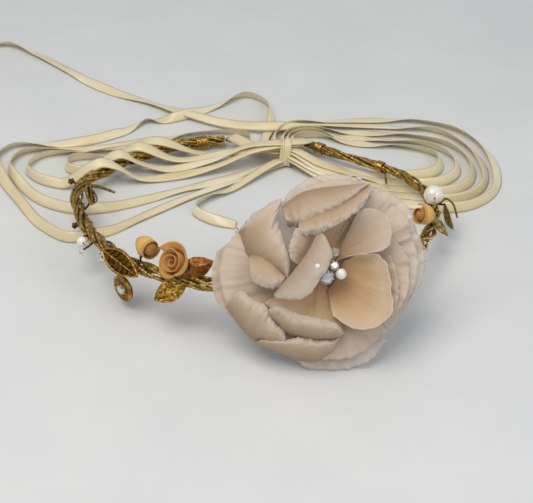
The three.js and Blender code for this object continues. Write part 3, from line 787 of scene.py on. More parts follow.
# Length, width, bow, droop, ribs and crinkle, in millimetres, then finish, place and slot.
for name, sizes, finish, at, along, facing, slot in (
    ("foil_leaf", (16, 9.5, 1.2, 1.4, 0, 1.3), foil_gold, (-36.8, -77.4, 7.6), (-0.86, -0.14, -0.49),
     (-0.1, -0.8, 0.6), "foil_leaf"),
    ("rose_leaf", (16, 9.5, 1.4, -1, 0, 0.3), bronze_gold, (-25.4, -73, 16.4), (0.84, 0.12, 0.3),
     (0.1, -0.75, 0.65), "tan_paper"),
    ("ribbed_leaf", (12, 5.6, 0.6, -0.8, 5, 0.1), olive_gold, (83.2, -18.6, 2.2), (0.5, -0.66, -0.5),
     (0.5, -0.4, 0.76), "cast_gold_leaf"),
    ("edge_leaf", (19, 5.5, 1.2, -1, 5, 0.1), olive_gold, (88.1, -3, -2.4), (-0.14, 0.96, 0.12),
     (0.97, 0.14, -0.2), "cast_gold_leaf"),
):
    solid_leaf(name, *sizes, finish, placed(at, along, facing), slot)

for node, points, radius in (
    ("stem_end_right", [(85.8, 5, -0.5), (88, 6.5, 1), (91, 1, 1.8), (92.4, -8, 0)], 0.5 * MM),
    ("twig_right", [(62, 41.6, -6.2), (62.2, 38.6, -7), (62.6, 35.6, -8.6)], 0.55 * MM),
    ("twig_left", [(-79.6, 22.6, -1.8), (-75, 19, -0.2), (-67, 10.6, 2)], (0.95 * MM, 0.6 * MM)),
):
    line = [ring + Vector(p) * MM for p in points]
    fit(tube(f"wire_{node}", line, radius, olive_gold), "root", "antique_gold_stem", node)


def ball(name, centre, radius, material, segments=24):
    """A bead: a round ball, closed at both poles."""
    shape = bmesh.new()
    bmesh.ops.create_uvsphere(shape, u_segments=segments, v_segments=segments * 2 // 3, radius=radius)
    mesh = bpy.data.meshes.new(name)
    shape.to_mesh(mesh)
    shape.free()
    mesh.transform(Matrix.Translation(centre))
    mesh.shade_smooth()
    mesh.materials.append(material)
    made = bpy.data.objects.new(name, mesh)
    bpy.context.collection.objects.link(made)
    return made


def middle_of(node):
    low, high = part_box(node)
    return (low + high) / 2


# Two empty bead cups at the left: knurled dark brass berries.
for node in ("bead_setting_rear", "bead_setting_side"):
    centre = middle_of(node)
    berries = [ball(node, centre, 1.25 * MM, vein_gold, 16)]
    for k in range(7):
        lift = 0.9 * math.sin(2.4 * k)
        off = Vector((math.cos(0.9 * k), math.sin(0.9 * k), lift)).normalized() * 1.05 * MM
        berries.append(ball(node, centre + off, 0.68 * MM, vein_gold, 12))
    fit(joined(f"berry_{node}", berries), "root", "antique_gold_stem", node)

# ---------- the pearls ----------
# Glass pearls with a lacquered nacre finish, each free to turn on a fine wire that is bent down into
# the vine at both ends. The lustre is soft and the coat over it is glossy.
nacre = mottled(
    "lacquered_nacre",
    ["#d9d5c6", "#eae6da", "#f4f2ea"],
    3 * MM,
    0.01 * MM,
    {"Roughness": 0.3, "Coat Weight": 0.9, "Coat Roughness": 0.06, "Sheen Weight": 0.3},
)


def bored_pearl(name, radius, bore, place):
    """A ball with a drilled hole along its +X, closed all round."""
    start = math.asin(bore / radius)
    rows = []
    for angle in np.linspace(start, math.pi - start, 28):
        rows.append((-radius * math.cos(angle), radius * math.sin(angle)))
    rows.append(rows[0])
    turns = [math.tau * k / 40 for k in range(40)]
    points = [[(x, r * math.cos(a), r * math.sin(a)) for a in turns] for x, r in rows]
    made = surface(name, np.array(points), nacre, around=True)
    outward_faces(made, merge=1e-7)
    return moved(made, place)


for side, radius, at, along, out in (
    ("right", 4.5, (81.6, -0.5, 7.6), (0.03, -0.99, 0.12), (0, 0.12, 0.99)),
    ("left", 2.3, (-78.2, -34.2, 4.2), (0.45, -0.88, 0.12), (-0.9, -0.42, 0)),
):
    place = placed(at, along, out)
    pearl = bored_pearl(f"glass_pearl_{side}", radius * MM, 0.5 * MM, place)
    fit(pearl, f"pearl_{side}_bead", "pearl", f"pearl_{side}")
    reach = radius + 1.2
    leg = [(-reach - 0.2, 0, -radius), (-reach, 0, -1.6), (-reach + 0.5, 0, -0.3), (-radius, 0, 0)]
    bent = [*leg, (0, 0, 0), *((-x, y, z) for x, y, z in reversed(leg))]
    wire = tube(f"pearl_{side}_pin", [Vector(p) * MM for p in bent], 0.26 * MM, wire_gold)
    fit(moved(wire, place), "root", "gold_wire_thin", f"pearl_{side}_wire")

# ---------- the stones ----------
# Foil-backed glass stones, cut with a flat table and a ring of facets, so that they flash white and
# dark. Small ones are held by a cup with claws, pressed from silvered brass.
cut_glass, _, _ = new_material(
    "foil_backed_glass",
    {"Base Color": linear("#d4d7da"), "Roughness": 0.03, "Metallic": 0.7, "Coat Weight": 1.0},
)
clear_glass, _, _ = new_material(
    "clear_pressed_glass",
    {"Base Color": linear("#f6f7f4"), "Roughness": 0.04, "Transmission Weight": 0.85, "IOR": 1.52},
)
silver = mottled(
    "silvered_brass",
    ["#8f8c84", "#c9c6bd", "#eceae4"],
    0.8 * MM,
    0.01 * MM,
    {"Metallic": 1.0, "Roughness": 0.2},
)


def facing_place(centre, facing):
    z = Vector(facing).normalized()
    x = z.orthogonal().normalized()
    return Matrix.LocRotScale(centre, Matrix((x, z.cross(x), z)).transposed().to_quaternion(), None)


def cut_stone(name, diameter, place, facets=8):
    """A brilliant: table, star and main facets above the girdle, and a cone of facets below it."""
    shape = bmesh.new()
    rings = []
    for share, height, shift in ((0.28, 0.2, 0.0), (0.42, 0.1, 0.5), (0.5, -0.04, 0.0), (0.46, -0.1, 0.5)):
        angles = [math.tau * (k + shift) / facets for k in range(facets)]
        rings.append(
            [
                shape.verts.new(
                    (share * diameter * math.cos(a), share * diameter * math.sin(a), height * diameter)
                )
                for a in angles
            ]
        )
    tip = shape.verts.new((0, 0, -0.5 * diameter))
    shape.faces.new(rings[0])
    for upper, lower, shift in ((rings[0], rings[1], 0), (rings[1], rings[2], 1), (rings[2], rings[3], 0)):
        for k in range(facets):
            n = (k + 1) % facets
            below = (k + shift) % facets
            before = (below - 1) % facets
            shape.faces.new((upper[k], lower[before], lower[below]))
            shape.faces.new((upper[k], lower[below], upper[n]))
    for k in range(facets):
        shape.faces.new((rings[3][k], tip, rings[3][(k + 1) % facets]))
    bmesh.ops.recalc_face_normals(shape, faces=shape.faces)
    mesh = bpy.data.meshes.new(name)
    shape.to_mesh(mesh)
    shape.free()
    mesh.transform(place)
    mesh.materials.append(cut_glass)
    made = bpy.data.objects.new(name, mesh)
    bpy.context.collection.objects.link(made)
    return made


def claw_cup(name, diameter, place, claws, material):
    """A round cup with claws bent over the stone's girdle, and a bead at each claw's tip."""
    r = diameter / 2
    turns = [math.tau * k / 24 for k in range(24)]
    profile = [(r * 0.5, -0.62), (r * 0.75, -0.5), (r * 1.06, -0.12), (r * 1.08, 0.0), (r * 1.0, 0.0)]
    profile += [(r * 0.98, -0.12), (r * 0.6, -0.48), (r * 0.5, -0.5), (r * 0.5, -0.62)]
    points = [[(q * math.cos(a), q * math.sin(a), h * diameter) for a in turns] for q, h in profile]
    pieces = [surface(f"{name}_cup", np.array(points), material, around=True)]
    outward_faces(pieces[0], merge=1e-7)
    for k in range(claws):
        a = math.tau * (k + 0.5) / claws
        ray = Vector((math.cos(a), math.sin(a), 0))
        bend = [ray * r * 1.1 + Vector((0, 0, -0.3 * diameter)), ray * r * 1.12, ray * r * 0.9]
        bend[2] = bend[2] + Vector((0, 0, 0.12 * diameter))
        size = 0.1 * r + 0.08 * MM
        pieces.append(tube(f"{name}_claw", bend, size, material, sides=6, step=0.3 * MM))
        pieces.append(ball(f"{name}_tip", bend[2], size * 1.35, material, 10))
    return moved(joined(name, pieces), place)


out_left = (-0.72, -0.62, 0.3)
side_stone_place = facing_place(middle_of("small_rhinestone"), out_left)
fit(cut_stone("cut_small_rhinestone", 3.4 * MM, side_stone_place), "root", "crystal", "small_rhinestone")
fit(
    claw_cup("claws_small_rhinestone", 3.5 * MM, side_stone_place, 5, vein_gold),
    "root",
    "antique_gold_stem",
)
fit(
    ball("pressed_crystal_bead", middle_of("crystal_bead"), 1.3 * MM, clear_glass),
    "root",
    "crystal",
    "crystal_bead",
)
clear_bead_centre = middle_of("small_rhinestone") + Vector((-0.4, -0.8, -3)) * MM
fit(ball("pressed_clear_bead", clear_bead_centre, 1.2 * MM, clear_glass), "root", "crystal")

# ---------- the charm ----------
# A flat coil of brass wire soldered on a disc, with a claw-set stone in the middle. It hangs by a
# round link from an eye on the vine, and swings.
eye_centre, bail_centre, disc_centre = (middle_of(n) for n in ("charm_eye", "charm_bail", "charm_disc"))
charm_along = Vector((0.66, -0.75, 0)).normalized()
charm_out = Vector((-0.75, -0.66, 0)).normalized()
up = Vector((0, 0, 1))


LINK_RADIUS = 1.25 * MM
LINK_WIRE = 0.3 * MM


def link(name, centre, across):
    """A round link of wire, bent shut."""
    flat = across.cross(up)
    rows = []
    for a in [math.tau * k / 20 for k in range(20)]:
        out = across * math.cos(a) + up * math.sin(a)
        row = []
        for b in [math.tau * j / 8 for j in range(8)]:
            reach = LINK_RADIUS + LINK_WIRE * math.cos(b)
            row.append(centre + out * reach + flat * LINK_WIRE * math.sin(b))
        rows.append(row)
    rows.append(rows[0])
    made = surface(name, np.array(rows), leaf_gold, around=True)
    outward_faces(made, merge=1e-7)
    return made


fit(link("bent_charm_eye", eye_centre, charm_out), "root", "charm_gold", "charm_eye")
fit(link("bent_charm_bail", bail_centre, charm_along), "charm", "charm_gold", "charm_bail")

CHARM_RADIUS = 6.2 * MM
COIL_TURNS = 4
COIL_INNER = 2.4 * MM


def on_charm(angle, radius, raised):
    """A point of the charm, round its middle and raised off its disc."""
    ray = charm_along * math.cos(angle) + up * math.sin(angle)
    return disc_centre + ray * radius + charm_out * raised


coil = []
for a in np.linspace(0, math.tau * COIL_TURNS, COIL_TURNS * 28):
    share = a / (math.tau * COIL_TURNS)
    radius = COIL_INNER + (CHARM_RADIUS - 0.45 * MM - COIL_INNER) * share
    coil.append(on_charm(a, radius, (0.35 + 0.45 * share**3) * MM))
rim = []
for k in range(61):
    a = math.tau * k / 60
    rope = 0.12 * MM * math.sin(a * 26)
    rim.append(on_charm(a, CHARM_RADIUS - 0.5 * MM + rope, 0.5 * MM))
profile = [(0.3, -0.8), (5.6, -0.8), (5.9, -0.3), (5.6, 0.1), (0.3, 0.1), (0.3, -0.8)]
turns = [math.tau * k / 32 for k in range(32)]
dish = [[on_charm(a, r * MM, h * MM) for a in turns] for r, h in profile]
back = surface("charm_plate", np.array(dish), vein_gold, around=True)
outward_faces(back, merge=1e-7)
wires = [tube("charm_coil", coil, 0.45 * MM, leaf_gold), tube("charm_rim", rim, 0.62 * MM, leaf_gold)]
fit(joined("coiled_charm_disc", [back, *wires]), "charm", "charm_gold", "charm_disc")
stone_place = facing_place(disc_centre + charm_out * 1.5 * MM, charm_out)
fit(cut_stone("cut_charm_crystal", 5.5 * MM, stone_place), "charm", "crystal", "charm_crystal")
fit(claw_cup("claws_charm_crystal", 5.6 * MM, stone_place, 6, leaf_gold), "charm", "charm_gold")

# ---------- the paper roses ----------
# Mulberry paper, dyed tan, rolled into two buds and one open rose, each glued to a wire stem. The
# paper is matt and fibrous, with darker dye along its edges. Dark bracts close the back.
def paper_finish():
    material, tree, shader = new_material("dyed_mulberry_paper", {"Roughness": 0.72, "Sheen Weight": 0.15})
    place = add_node(tree, "ShaderNodeUVMap").outputs["UV"]
    rise = add_node(tree, "ShaderNodeSeparateXYZ", links={"Vector": place}).outputs["Y"]
    solid = add_node(tree, "ShaderNodeTexCoord").outputs["Object"]
    blotch = add_node(tree, "ShaderNodeTexNoise", {"Scale": 1 / (4 * MM), "Detail": 4.0}, {"Vector": solid})
    factor = add_node(
        tree,
        "ShaderNodeMath",
        {1: 0.22},
        {0: blotch.outputs["Fac"], 2: rise},
        operation="MULTIPLY_ADD",
    )
    colour = colour_ramp(
        tree, factor.outputs[0], ["#a06c2c", "#cb9743", "#d9a752", "#dfb062", "#c48f48"], 0.05, 1.15
    )
    tree.links.new(colour, shader.inputs["Base Color"])
    fibres = add_node(
        tree, "ShaderNodeTexNoise", {"Scale": 1 / (0.5 * MM), "Detail": 3.0}, {"Vector": solid}
    )
    bump = add_node(
        tree, "ShaderNodeBump", {"Strength": 0.8, "Distance": 0.06 * MM}, {"Height": fibres.outputs["Fac"]}
    )
    tree.links.new(bump.outputs["Normal"], shader.inputs["Normal"])
    return material


paper = paper_finish()


def rolled_paper(name, node, sizes, facing, turns, flare, waves):
    """A strip of paper rolled up, closed behind and open in front. The outer turns flare and wave."""
    inner, outer, height = sizes
    rows = []
    for a in np.linspace(0, math.tau * turns, int(turns * 44)):
        share = a / (math.tau * turns)
        radius = inner + (outer - inner) * share
        wave = waves * share * (1 - abs(math.sin(a * 0.72 + 0.5)) ** 0.6)
        row = []
        for h in np.linspace(0, 1, 16):
            wall = math.sin(min(1.0, 0.22 + h * 1.25) * math.pi / 2)
            lip = max(0.0, h - 0.62) / 0.38
            spread = radius * wall * (1 + flare * share * lip**1.5 - 0.12 * (1 - share) * lip)
            lift = height * (h - 0.5) * (0.8 + 0.2 * (1 - abs(2 * share - 1))) + wave * lip * height
            lift -= 0.22 * flare * share * lip**2 * height
            row.append((spread * math.cos(a), spread * math.sin(a), lift))
        rows.append(row)
    made = surface(name, np.array(rows) * MM, paper)
    moved(made, facing_place(middle_of(node), facing))
    thicken(made, 0.4 * MM)
    fit(made, "root", "tan_paper", node)


def paper_plug(node, radius, facing, depth):
    """The wad of the same paper in the middle of a bud."""
    at = middle_of(node) + Vector(facing).normalized() * depth * MM
    fit(ball(f"paper_plug_{node}", at, radius * MM, paper), "root", "tan_paper")


def bracts(node, flower_node, facing, reach, spread):
    """Small pointed bracts round the foot of a bud, with a bit of stem."""
    place = facing_place(middle_of(flower_node), facing)
    pieces = []
    for k in range(5):
        a = math.tau * k / 5 + 0.3
        ray = Vector((math.cos(a), math.sin(a), 0))
        foot = Vector((0, 0, -reach)) * MM
        line = [foot + ray * 0.4 * MM, foot + (ray * 0.6 * spread + Vector((0, 0, 0.6))) * MM]
        line.append(foot + (ray * spread + Vector((0, 0, 2.6))) * MM)
        pieces.append(tube(f"{node}_bract", line, (0.9 * MM, 0.25 * MM), vein_gold, sides=6))
    bar = [Vector((0, 0, -reach - 2.4)) * MM, Vector((0.2, 0, -reach + 0.8)) * MM]
    pieces.append(tube(f"{node}_stem", bar, 0.7 * MM, vein_gold))
    fit(moved(joined(f"brass_{node}", pieces), place), "root", "antique_gold_stem", node)


LEFT_BUD_FACING = (0.58, -0.8, 0.08)
RIGHT_BUD_FACING = (-0.8, -0.5, 0.34)
ROSE_FACING = (-0.55, -0.58, 0.6)
rolled_paper("paper_rosebud_left", "rosebud_left", (3.1, 5.1, 10.5), LEFT_BUD_FACING, 1.35, 0.02, 0.0)
rolled_paper("paper_rosebud_right", "rosebud_right", (2.6, 4.9, 9.8), RIGHT_BUD_FACING, 1.5, 0.02, 0.0)
rolled_paper("paper_rose", "rose", (0.9, 6.6, 9.5), ROSE_FACING, 3.2, 0.42, 0.42)
paper_plug("rosebud_left", 3.1, LEFT_BUD_FACING, 3.0)
paper_plug("rosebud_right", 2.7, RIGHT_BUD_FACING, 2.3)
bracts("rosebud_left_calyx", "rosebud_left", (0.3, -0.2, 0.93), 5.6, 2.6)
bracts("rosebud_right_calyx", "rosebud_right", RIGHT_BUD_FACING, 4.6, 2.4)
bracts("rose_calyx", "rose", ROSE_FACING, 4.6, 4.4)

# ---------- the chiffon flower ----------
# Blush polyester chiffon, cut in rounds, curled over a flame until the edges singed and shrank, and
# sewn in layers on a felt disc. It is sheer: single layers look pale, and stacked ones deeper.
# Each petal's colour is also painted darker towards its foot: painted shade for the flower's depths.
flower_place = Matrix.LocRotScale(
    ring + Vector((26.6, -88, 25)) * MM, Matrix.Rotation(math.radians(55.5), 3, "X").to_quaternion(), None
)
flower_facing = flower_place.to_3x3() @ Vector((0, 0, 1))
SINGED_FROM = 0.982  # the share of a petal's height where its singed edge starts


def chiffon_finish(name, colours, alpha):
    material, tree, shader = new_material(
        name, {"Roughness": 0.8, "Alpha": alpha, "Sheen Weight": 0.35, "Sheen Roughness": 0.5}
    )
    place = add_node(tree, "ShaderNodeUVMap").outputs["UV"]
    split = add_node(tree, "ShaderNodeSeparateXYZ", links={"Vector": place})
    solid = add_node(tree, "ShaderNodeTexCoord").outputs["Object"]
    cloud = add_node(tree, "ShaderNodeTexNoise", {"Scale": 1 / (14 * MM), "Detail": 3.0}, {"Vector": solid})
    # Painted shade: the colour runs from dark at a petal's sewn foot to pale at its rim, with a random cloud
    # of tone over it.
    cloud_and_painted_depth = add_node(
        tree,
        "ShaderNodeMath",
        {1: 0.3},
        {0: cloud.outputs["Fac"], 2: split.outputs["X"]},
        operation="MULTIPLY_ADD",
    )
    body = colour_ramp(tree, cloud_and_painted_depth.outputs[0], colours, 0.1, 1.1)
    singed = add_node(
        tree, "ShaderNodeMath", {1: SINGED_FROM}, {0: split.outputs["X"]}, operation="GREATER_THAN"
    )
    edged = add_node(
        tree,
        "ShaderNodeMix",
        {"B": linear("#d8c7b2")},
        {"Factor": singed.outputs[0], "A": body},
        data_type="RGBA",
    )
    tree.links.new(edged.outputs["Result"], shader.inputs["Base Color"])
    # Crepe threads are 0.1 mm apart; drawn four times as coarse, crossed, they give a faint grain.
    crepe = add_node(
        tree, "ShaderNodeTexNoise", {"Scale": 1 / (0.4 * MM), "Detail": 2.0}, {"Vector": solid}
    )
    crease_map = add_node(tree, "ShaderNodeMapping", {"Scale": (2.2, 13.0, 1.0)}, {"Vector": place})
    creases = add_node(
        tree,
        "ShaderNodeTexNoise",
        {"Scale": 1.0, "Detail": 4.0, "Distortion": 0.8},
        {"Vector": crease_map.outputs[0]},
    )
    fine = add_node(
        tree, "ShaderNodeBump", {"Strength": 0.35, "Distance": 0.05 * MM}, {"Height": crepe.outputs["Fac"]}
    )
    folded = add_node(
        tree,
        "ShaderNodeBump",
        {"Strength": 0.6, "Distance": 0.8 * MM},
        {"Height": creases.outputs["Fac"], "Normal": fine.outputs["Normal"]},
    )
    tree.links.new(folded.outputs["Normal"], shader.inputs["Normal"])
    return material


# Each list runs from the painted shade at a petal's foot to the fabric's own tone at its rim.
blush = ["#a1805c", "#c0a484", "#cdb79e", "#d8c5b2"]
golden = ["#8a6440", "#b48f65", "#c6a680", "#d2b899"]
pale_chiffon = chiffon_finish("single_blush_chiffon", ["#b9a28a", "#ccb9a4", "#d8c8b7", "#dfd2c4"], 0.52)
deep_chiffon = chiffon_finish("layered_blush_chiffon", blush, 0.76)
golden_chiffon = chiffon_finish("layered_golden_chiffon", golden, 0.88)


def petal(name, foot, rim, bow, finish, nodes=(), ruffle=0.7, folds=2.5, curl=0.0, pinch=0.0):
    """One petal between its foot, which is sewn or hidden, and its singed rim. Both are lines in the
    flower's own millimetres, facing +Z. It bows towards +Z between them, and its rim ruffles."""
    columns, rows = 64, 34
    lines = []
    for line in (foot, rim):
        fine = smooth_line(line, 0.3)
        stops = np.linspace(0, len(fine) - 1, columns)
        lines.append(np.stack([np.interp(stops, range(len(fine)), fine[:, k]) for k in range(3)], axis=1))
    seed = sum(ord(c) for c in name) * 0.37
    points = np.zeros((rows, columns, 3))
    for i, u in enumerate(np.linspace(0, 1, rows)):
        for j, v in enumerate(np.linspace(0, 1, columns)):
            near = u * (1 - 0.94 * pinch * abs(2 * v - 1) ** 8)
            point = lines[0][j] * (1 - near) + lines[1][j] * near
            spread = Vector(lines[1][j] - lines[0][j])
            out = spread.normalized()
            point[2] += bow * 4 * u * (1 - u) * (0.75 + 0.25 * math.sin(math.pi * v))
            sway = noise.noise(Vector((v * folds * 2, u * 1.2, seed)))
            fray = noise.noise(Vector((v * 34, 0, seed)))
            crease = abs(noise.noise(Vector((v * folds * 3, u * 0.9, seed + 20))))
            small = noise.noise(Vector((v * folds * 7, u * 5, seed + 9)))
            point[2] += ruffle * ((0.25 + 0.75 * u**1.5) * 2.4 * sway + 0.8 * u * small - 1.8 * u * crease)
            point[:2] += np.array(out)[:2] * u**6 * (0.7 * small + 0.3 * fray)
            turned = max(0.0, u - 0.7) / 0.3
            point[2] += curl * turned**2
            points[i, j] = point
    made = surface(name, points * MM, finish)
    moved(made, flower_place)
    thicken(made, 0.22 * MM)
    fit(made, "root", "blush_chiffon", *nodes)


def sewn(radius, start, end, height=-9.0, squash=0.9):
    """A foot sewn round the middle of the flower, from one angle to another in degrees."""
    angles = [math.radians(start + (end - start) * k / 4) for k in range(5)]
    return [(radius * math.cos(a), radius * squash * math.sin(a), height) for a in angles]


# The outermost round, single and pale.
petal(
    "chiffon_outer_bottom", sewn(3.6, 225, 320),
    [(-11, -36, -5), (-5, -40.4, -6), (4.6, -41.5, -6.5), (14.3, -40.4, -6.5), (22.2, -36.7, -6),
     (28, -29, -5.5)],
    1.5, pale_chiffon, ["outer_petal_1"],
)
petal(
    "chiffon_outer_right_low", sewn(3.6, 300, 355),
    [(24, -30, -5), (30, -24.6, -5), (34.5, -18, -5), (38.5, -10, -6)],
    1, pale_chiffon,
)
petal(
    "chiffon_outer_right", sewn(3.6, 340, 395),
    [(37.4, -12, -6), (42, -6.3, -7), (44.3, 2, -7), (43.6, 10, -7), (39.3, 20.5, -6)],
    1, pale_chiffon, ["outer_petal_2"],
)
petal(
    "chiffon_outer_right_top", sewn(3.6, 25, 75),
    [(41, 16, -6.5), (38, 25.9, -6), (31.4, 32, -6), (25.3, 34.8, -6), (18, 37, -6)],
    1, pale_chiffon,
)
petal(
    "chiffon_outer_top", sewn(3.6, 60, 120),
    [(21.5, 35.5, -6), (14.3, 39.5, -7), (8.9, 40.8, -7), (1, 40.4, -7), (-6.3, 38, -6.5),
     (-12, 34, -6), (-15.5, 29, -5)],
    1.5, pale_chiffon, ["outer_petal_3"],
)
petal(
    "chiffon_outer_top_left", sewn(3.6, 115, 170),
    [(-12, 30, -5), (-20, 28, -5), (-28, 24, -5), (-33.5, 17.5, -5), (-37, 12, -5)],
    1, pale_chiffon, ["outer_petal_4"],
)
petal(
    "chiffon_outer_left", sewn(3.6, 155, 215),
    [(-34, 15.4, -6), (-42.8, 7.7, -7), (-45, -2, -7.5), (-43.4, -11.8, -7), (-37, -19, -6)],
    0, deep_chiffon, ["outer_petal_5"],
)
petal(
    "chiffon_outer_left_low", sewn(3.6, 200, 255),
    [(-40, -14, -5), (-34, -22, -5), (-28.8, -28.4, -5), (-20, -33, -5), (-10, -37, -5)],
    1, pale_chiffon,
)

# The second round: the broad left petal, the nested ones at the right, and those that fold at the top.
petal(
    "chiffon_left_broad", sewn(3.6, 150, 235, -7.5),
    [(-30, 20.5, -1), (-36.5, 14, -2), (-41, 6.4, -2.5), (-41.6, -4.5, -2.5), (-38.5, -13.6, -2),
     (-32.5, -21.5, -1)],
    5, deep_chiffon, ["middle_petal_1"],
)
petal(
    "chiffon_right_third", sewn(3.6, 330, 400, -7.5),
    [(33, -16, -2), (38.5, -8, -3), (41, 3, -3), (39.5, 12, -3), (34, 20, -2)],
    2, pale_chiffon, ["middle_petal_2"],
)
petal(
    "chiffon_right_second", sewn(3.6, 325, 395, -3),
    [(31, -18.5, 1), (36, -10, 0.5), (37.2, 0, 0), (35, 8.5, 0), (30, 14, 1)],
    0, deep_chiffon,
)
petal(
    "chiffon_right_first", sewn(3.6, 320, 385, -6.5),
    [(28.5, -20, 4), (31.8, -13, 3.5), (32, -4, 3), (30, 4.5, 3), (25, 9.5, 3)],
    -2, deep_chiffon, ["middle_petal_3"],
)
petal(
    "chiffon_right_top_inner", sewn(3.6, 15, 65, -6.5),
    [(38, 14, -1), (36, 22, -1), (31, 27.5, -1), (24, 31, 0), (17, 33, 0)],
    3, deep_chiffon,
)
petal(
    "chiffon_top_back", sewn(3.6, 60, 130, -6.5),
    [(20, 35, -2), (12, 37.5, -3), (3, 37.6, -3), (-6, 35, -3), (-14, 29.5, -2)],
    4, deep_chiffon, ["middle_petal_4"],
)
petal(
    "chiffon_bottom_back", sewn(3.6, 245, 335, -6.5),
    [(-8, -34, -2), (2, -36.5, -3), (12, -36, -3), (20, -32, -3), (28, -24, -2)],
    3, deep_chiffon,
)

# The incurved petals: they stand on the second round and turn in over the middle.
petal(
    "chiffon_upright", [(-34, 16, -3), (-31.5, 9, -1), (-28, 4.5, 1), (-22, 0.5, 2), (-14, -3.5, 3)],
    [(-26.5, 25.5, 0), (-20, 29, 1), (-16.2, 29.6, 2), (-17.6, 20.5, 6), (-14.6, 12, 8),
     (-10.5, 2.5, 7)],
    6, deep_chiffon, ["inner_petal_1"], ruffle=0.9, folds=3, curl=-1.5, pinch=0.8,
)
petal(
    "chiffon_pocket", [(-29, 6.5, 3), (-24, 7.5, 4), (-19, 4.5, 5), (-14.5, -1.5, 5)],
    [(-30, 0, 6), (-27, -4.6, 8), (-20.5, -6.8, 9), (-14, -5.6, 8)],
    3, deep_chiffon, ruffle=0.5, curl=-1.0, pinch=0.8,
)
petal(
    "chiffon_lower_left",
    [(-39, -15, -4), (-34, -22, -3.5), (-28.8, -27.6, -3), (-22, -31, -3), (-15, -33.5, -3)],
    [(-33.4, -5, 3), (-28.5, -11, 6), (-22, -14.6, 7), (-19, -21, 6.5), (-13, -24.5, 6)],
    4, deep_chiffon, ["inner_petal_2"], ruffle=1.0, folds=3.5, curl=-2.5, pinch=0.45,
)
petal(
    "chiffon_lower_outer",
    [(-27.5, -29.5, -4), (-18, -33.5, -4), (-9, -37, -4.5), (0, -37, -4), (6, -32.5, -3), (8, -28, -2)],
    [(-22, -27.4, 4), (-15, -28.4, 5), (-8.8, -27.2, 6), (-1, -28.4, 6), (4.5, -28, 5.5),
     (7.4, -25.6, 5)],
    3.5, deep_chiffon, ruffle=1.0, folds=3.5, curl=-2.5, pinch=0.45,
)
petal(
    "chiffon_lower_inner",
    [(-23, -19, 0), (-15, -25.5, 0.5), (-6, -28.6, 1), (2, -29, 1.5), (8.6, -27, 2)],
    [(-19, -11.8, 7), (-11.2, -16.6, 9), (-4, -18.6, 9.5), (3, -20, 9.5), (9, -21.4, 8)],
    4, deep_chiffon, ["inner_petal_3"], ruffle=1.0, folds=3.5, curl=-3.0, pinch=0.45,
)
petal(
    "chiffon_top_fold", [(-16, 27, -1), (-8, 32.5, -1), (0, 34.6, -1), (9, 35.6, -1), (18, 36.5, -1)],
    [(-13, 17, 5), (-3.5, 21, 8), (7, 25, 8.5), (15, 31, 7), (20.4, 35.5, 3)],
    4, deep_chiffon, ruffle=1.1, folds=4, curl=-2.5, pinch=0.2,
)
petal(
    "chiffon_top_lip", [(-9, 22.4, 5), (-1, 24.6, 6), (7, 27.6, 6), (15.4, 33, 4), (20.6, 36.4, 2)],
    [(-9, 14, 8), (0, 16, 11), (9.5, 21, 11), (16.2, 25.6, 10), (20.4, 31, 6)],
    2.5, deep_chiffon, ruffle=1.1, folds=4, curl=-1.5, pinch=0.2,
)
petal(
    "chiffon_left_inner", [(-6, 2, 2), (-4, 7, 2), (-2, 11, 2), (0, 16, 4)],
    [(-13.6, 4.4, 9), (-12.6, 11, 10), (-10.4, 17, 10), (-6, 20.5, 9)],
    0.5, deep_chiffon, ruffle=0.6, curl=-0.5, pinch=0.5,
)
petal(
    "chiffon_heart_top", sewn(3.5, 20, 140, 0.5),
    [(19, 22, 3), (15, 27.5, 4), (7, 26, 6), (0, 22, 7), (-6, 18, 7)],
    -4, golden_chiffon, ["heart_petal_1"],
)
petal(
    "chiffon_heart_right", [(6, 4, 1), (7.5, 6, 1), (8.5, 8, 1), (9, 11, 1)],
    [(11, 6.4, 6), (20, 7.6, 8), (26.8, 9.4, 9), (29.2, 15, 9), (28, 21.6, 9), (22.3, 25.6, 8.5),
     (15.6, 25.4, 7)],
    -2.5, deep_chiffon, ruffle=0.4, curl=-1.2,
)
petal(
    "chiffon_golden", [(3, -8, 1), (5, -5, 0.5), (8, -1, 0.5), (9.5, 4, 2)],
    [(5, -18, 7), (10.7, -22, 8), (18, -23.6, 8), (25.3, -21.6, 8), (29.6, -16, 8), (29.2, -7.6, 7),
     (27.9, 1, 7), (24, 6.6, 8), (16, 7.2, 8)],
    -2.5, golden_chiffon, ["heart_petal_2"], ruffle=0.5, folds=2.5,
)
petal(
    "chiffon_heart_bottom", sewn(3.5, 190, 300, 0.5),
    [(-23, -13, 3), (-15, -20, 3.5), (-3, -25, 4), (10, -26, 4)],
    -1, golden_chiffon,
)
petal(
    "chiffon_strip",
    [(-0.8, 17, 8), (-5.4, 8, 9.5), (-11, 0.4, 10), (-15.6, -5, 9.5), (-19.4, -9.6, 8)],
    [(4.8, 11.6, 9.5), (4.4, 5, 11.5), (-0.6, -3.4, 12.5), (-6.2, -10.4, 12), (-17, -12, 9.5)],
    1.6, pale_chiffon, ruffle=0.25, folds=1.5, curl=-0.8, pinch=0.5,
)

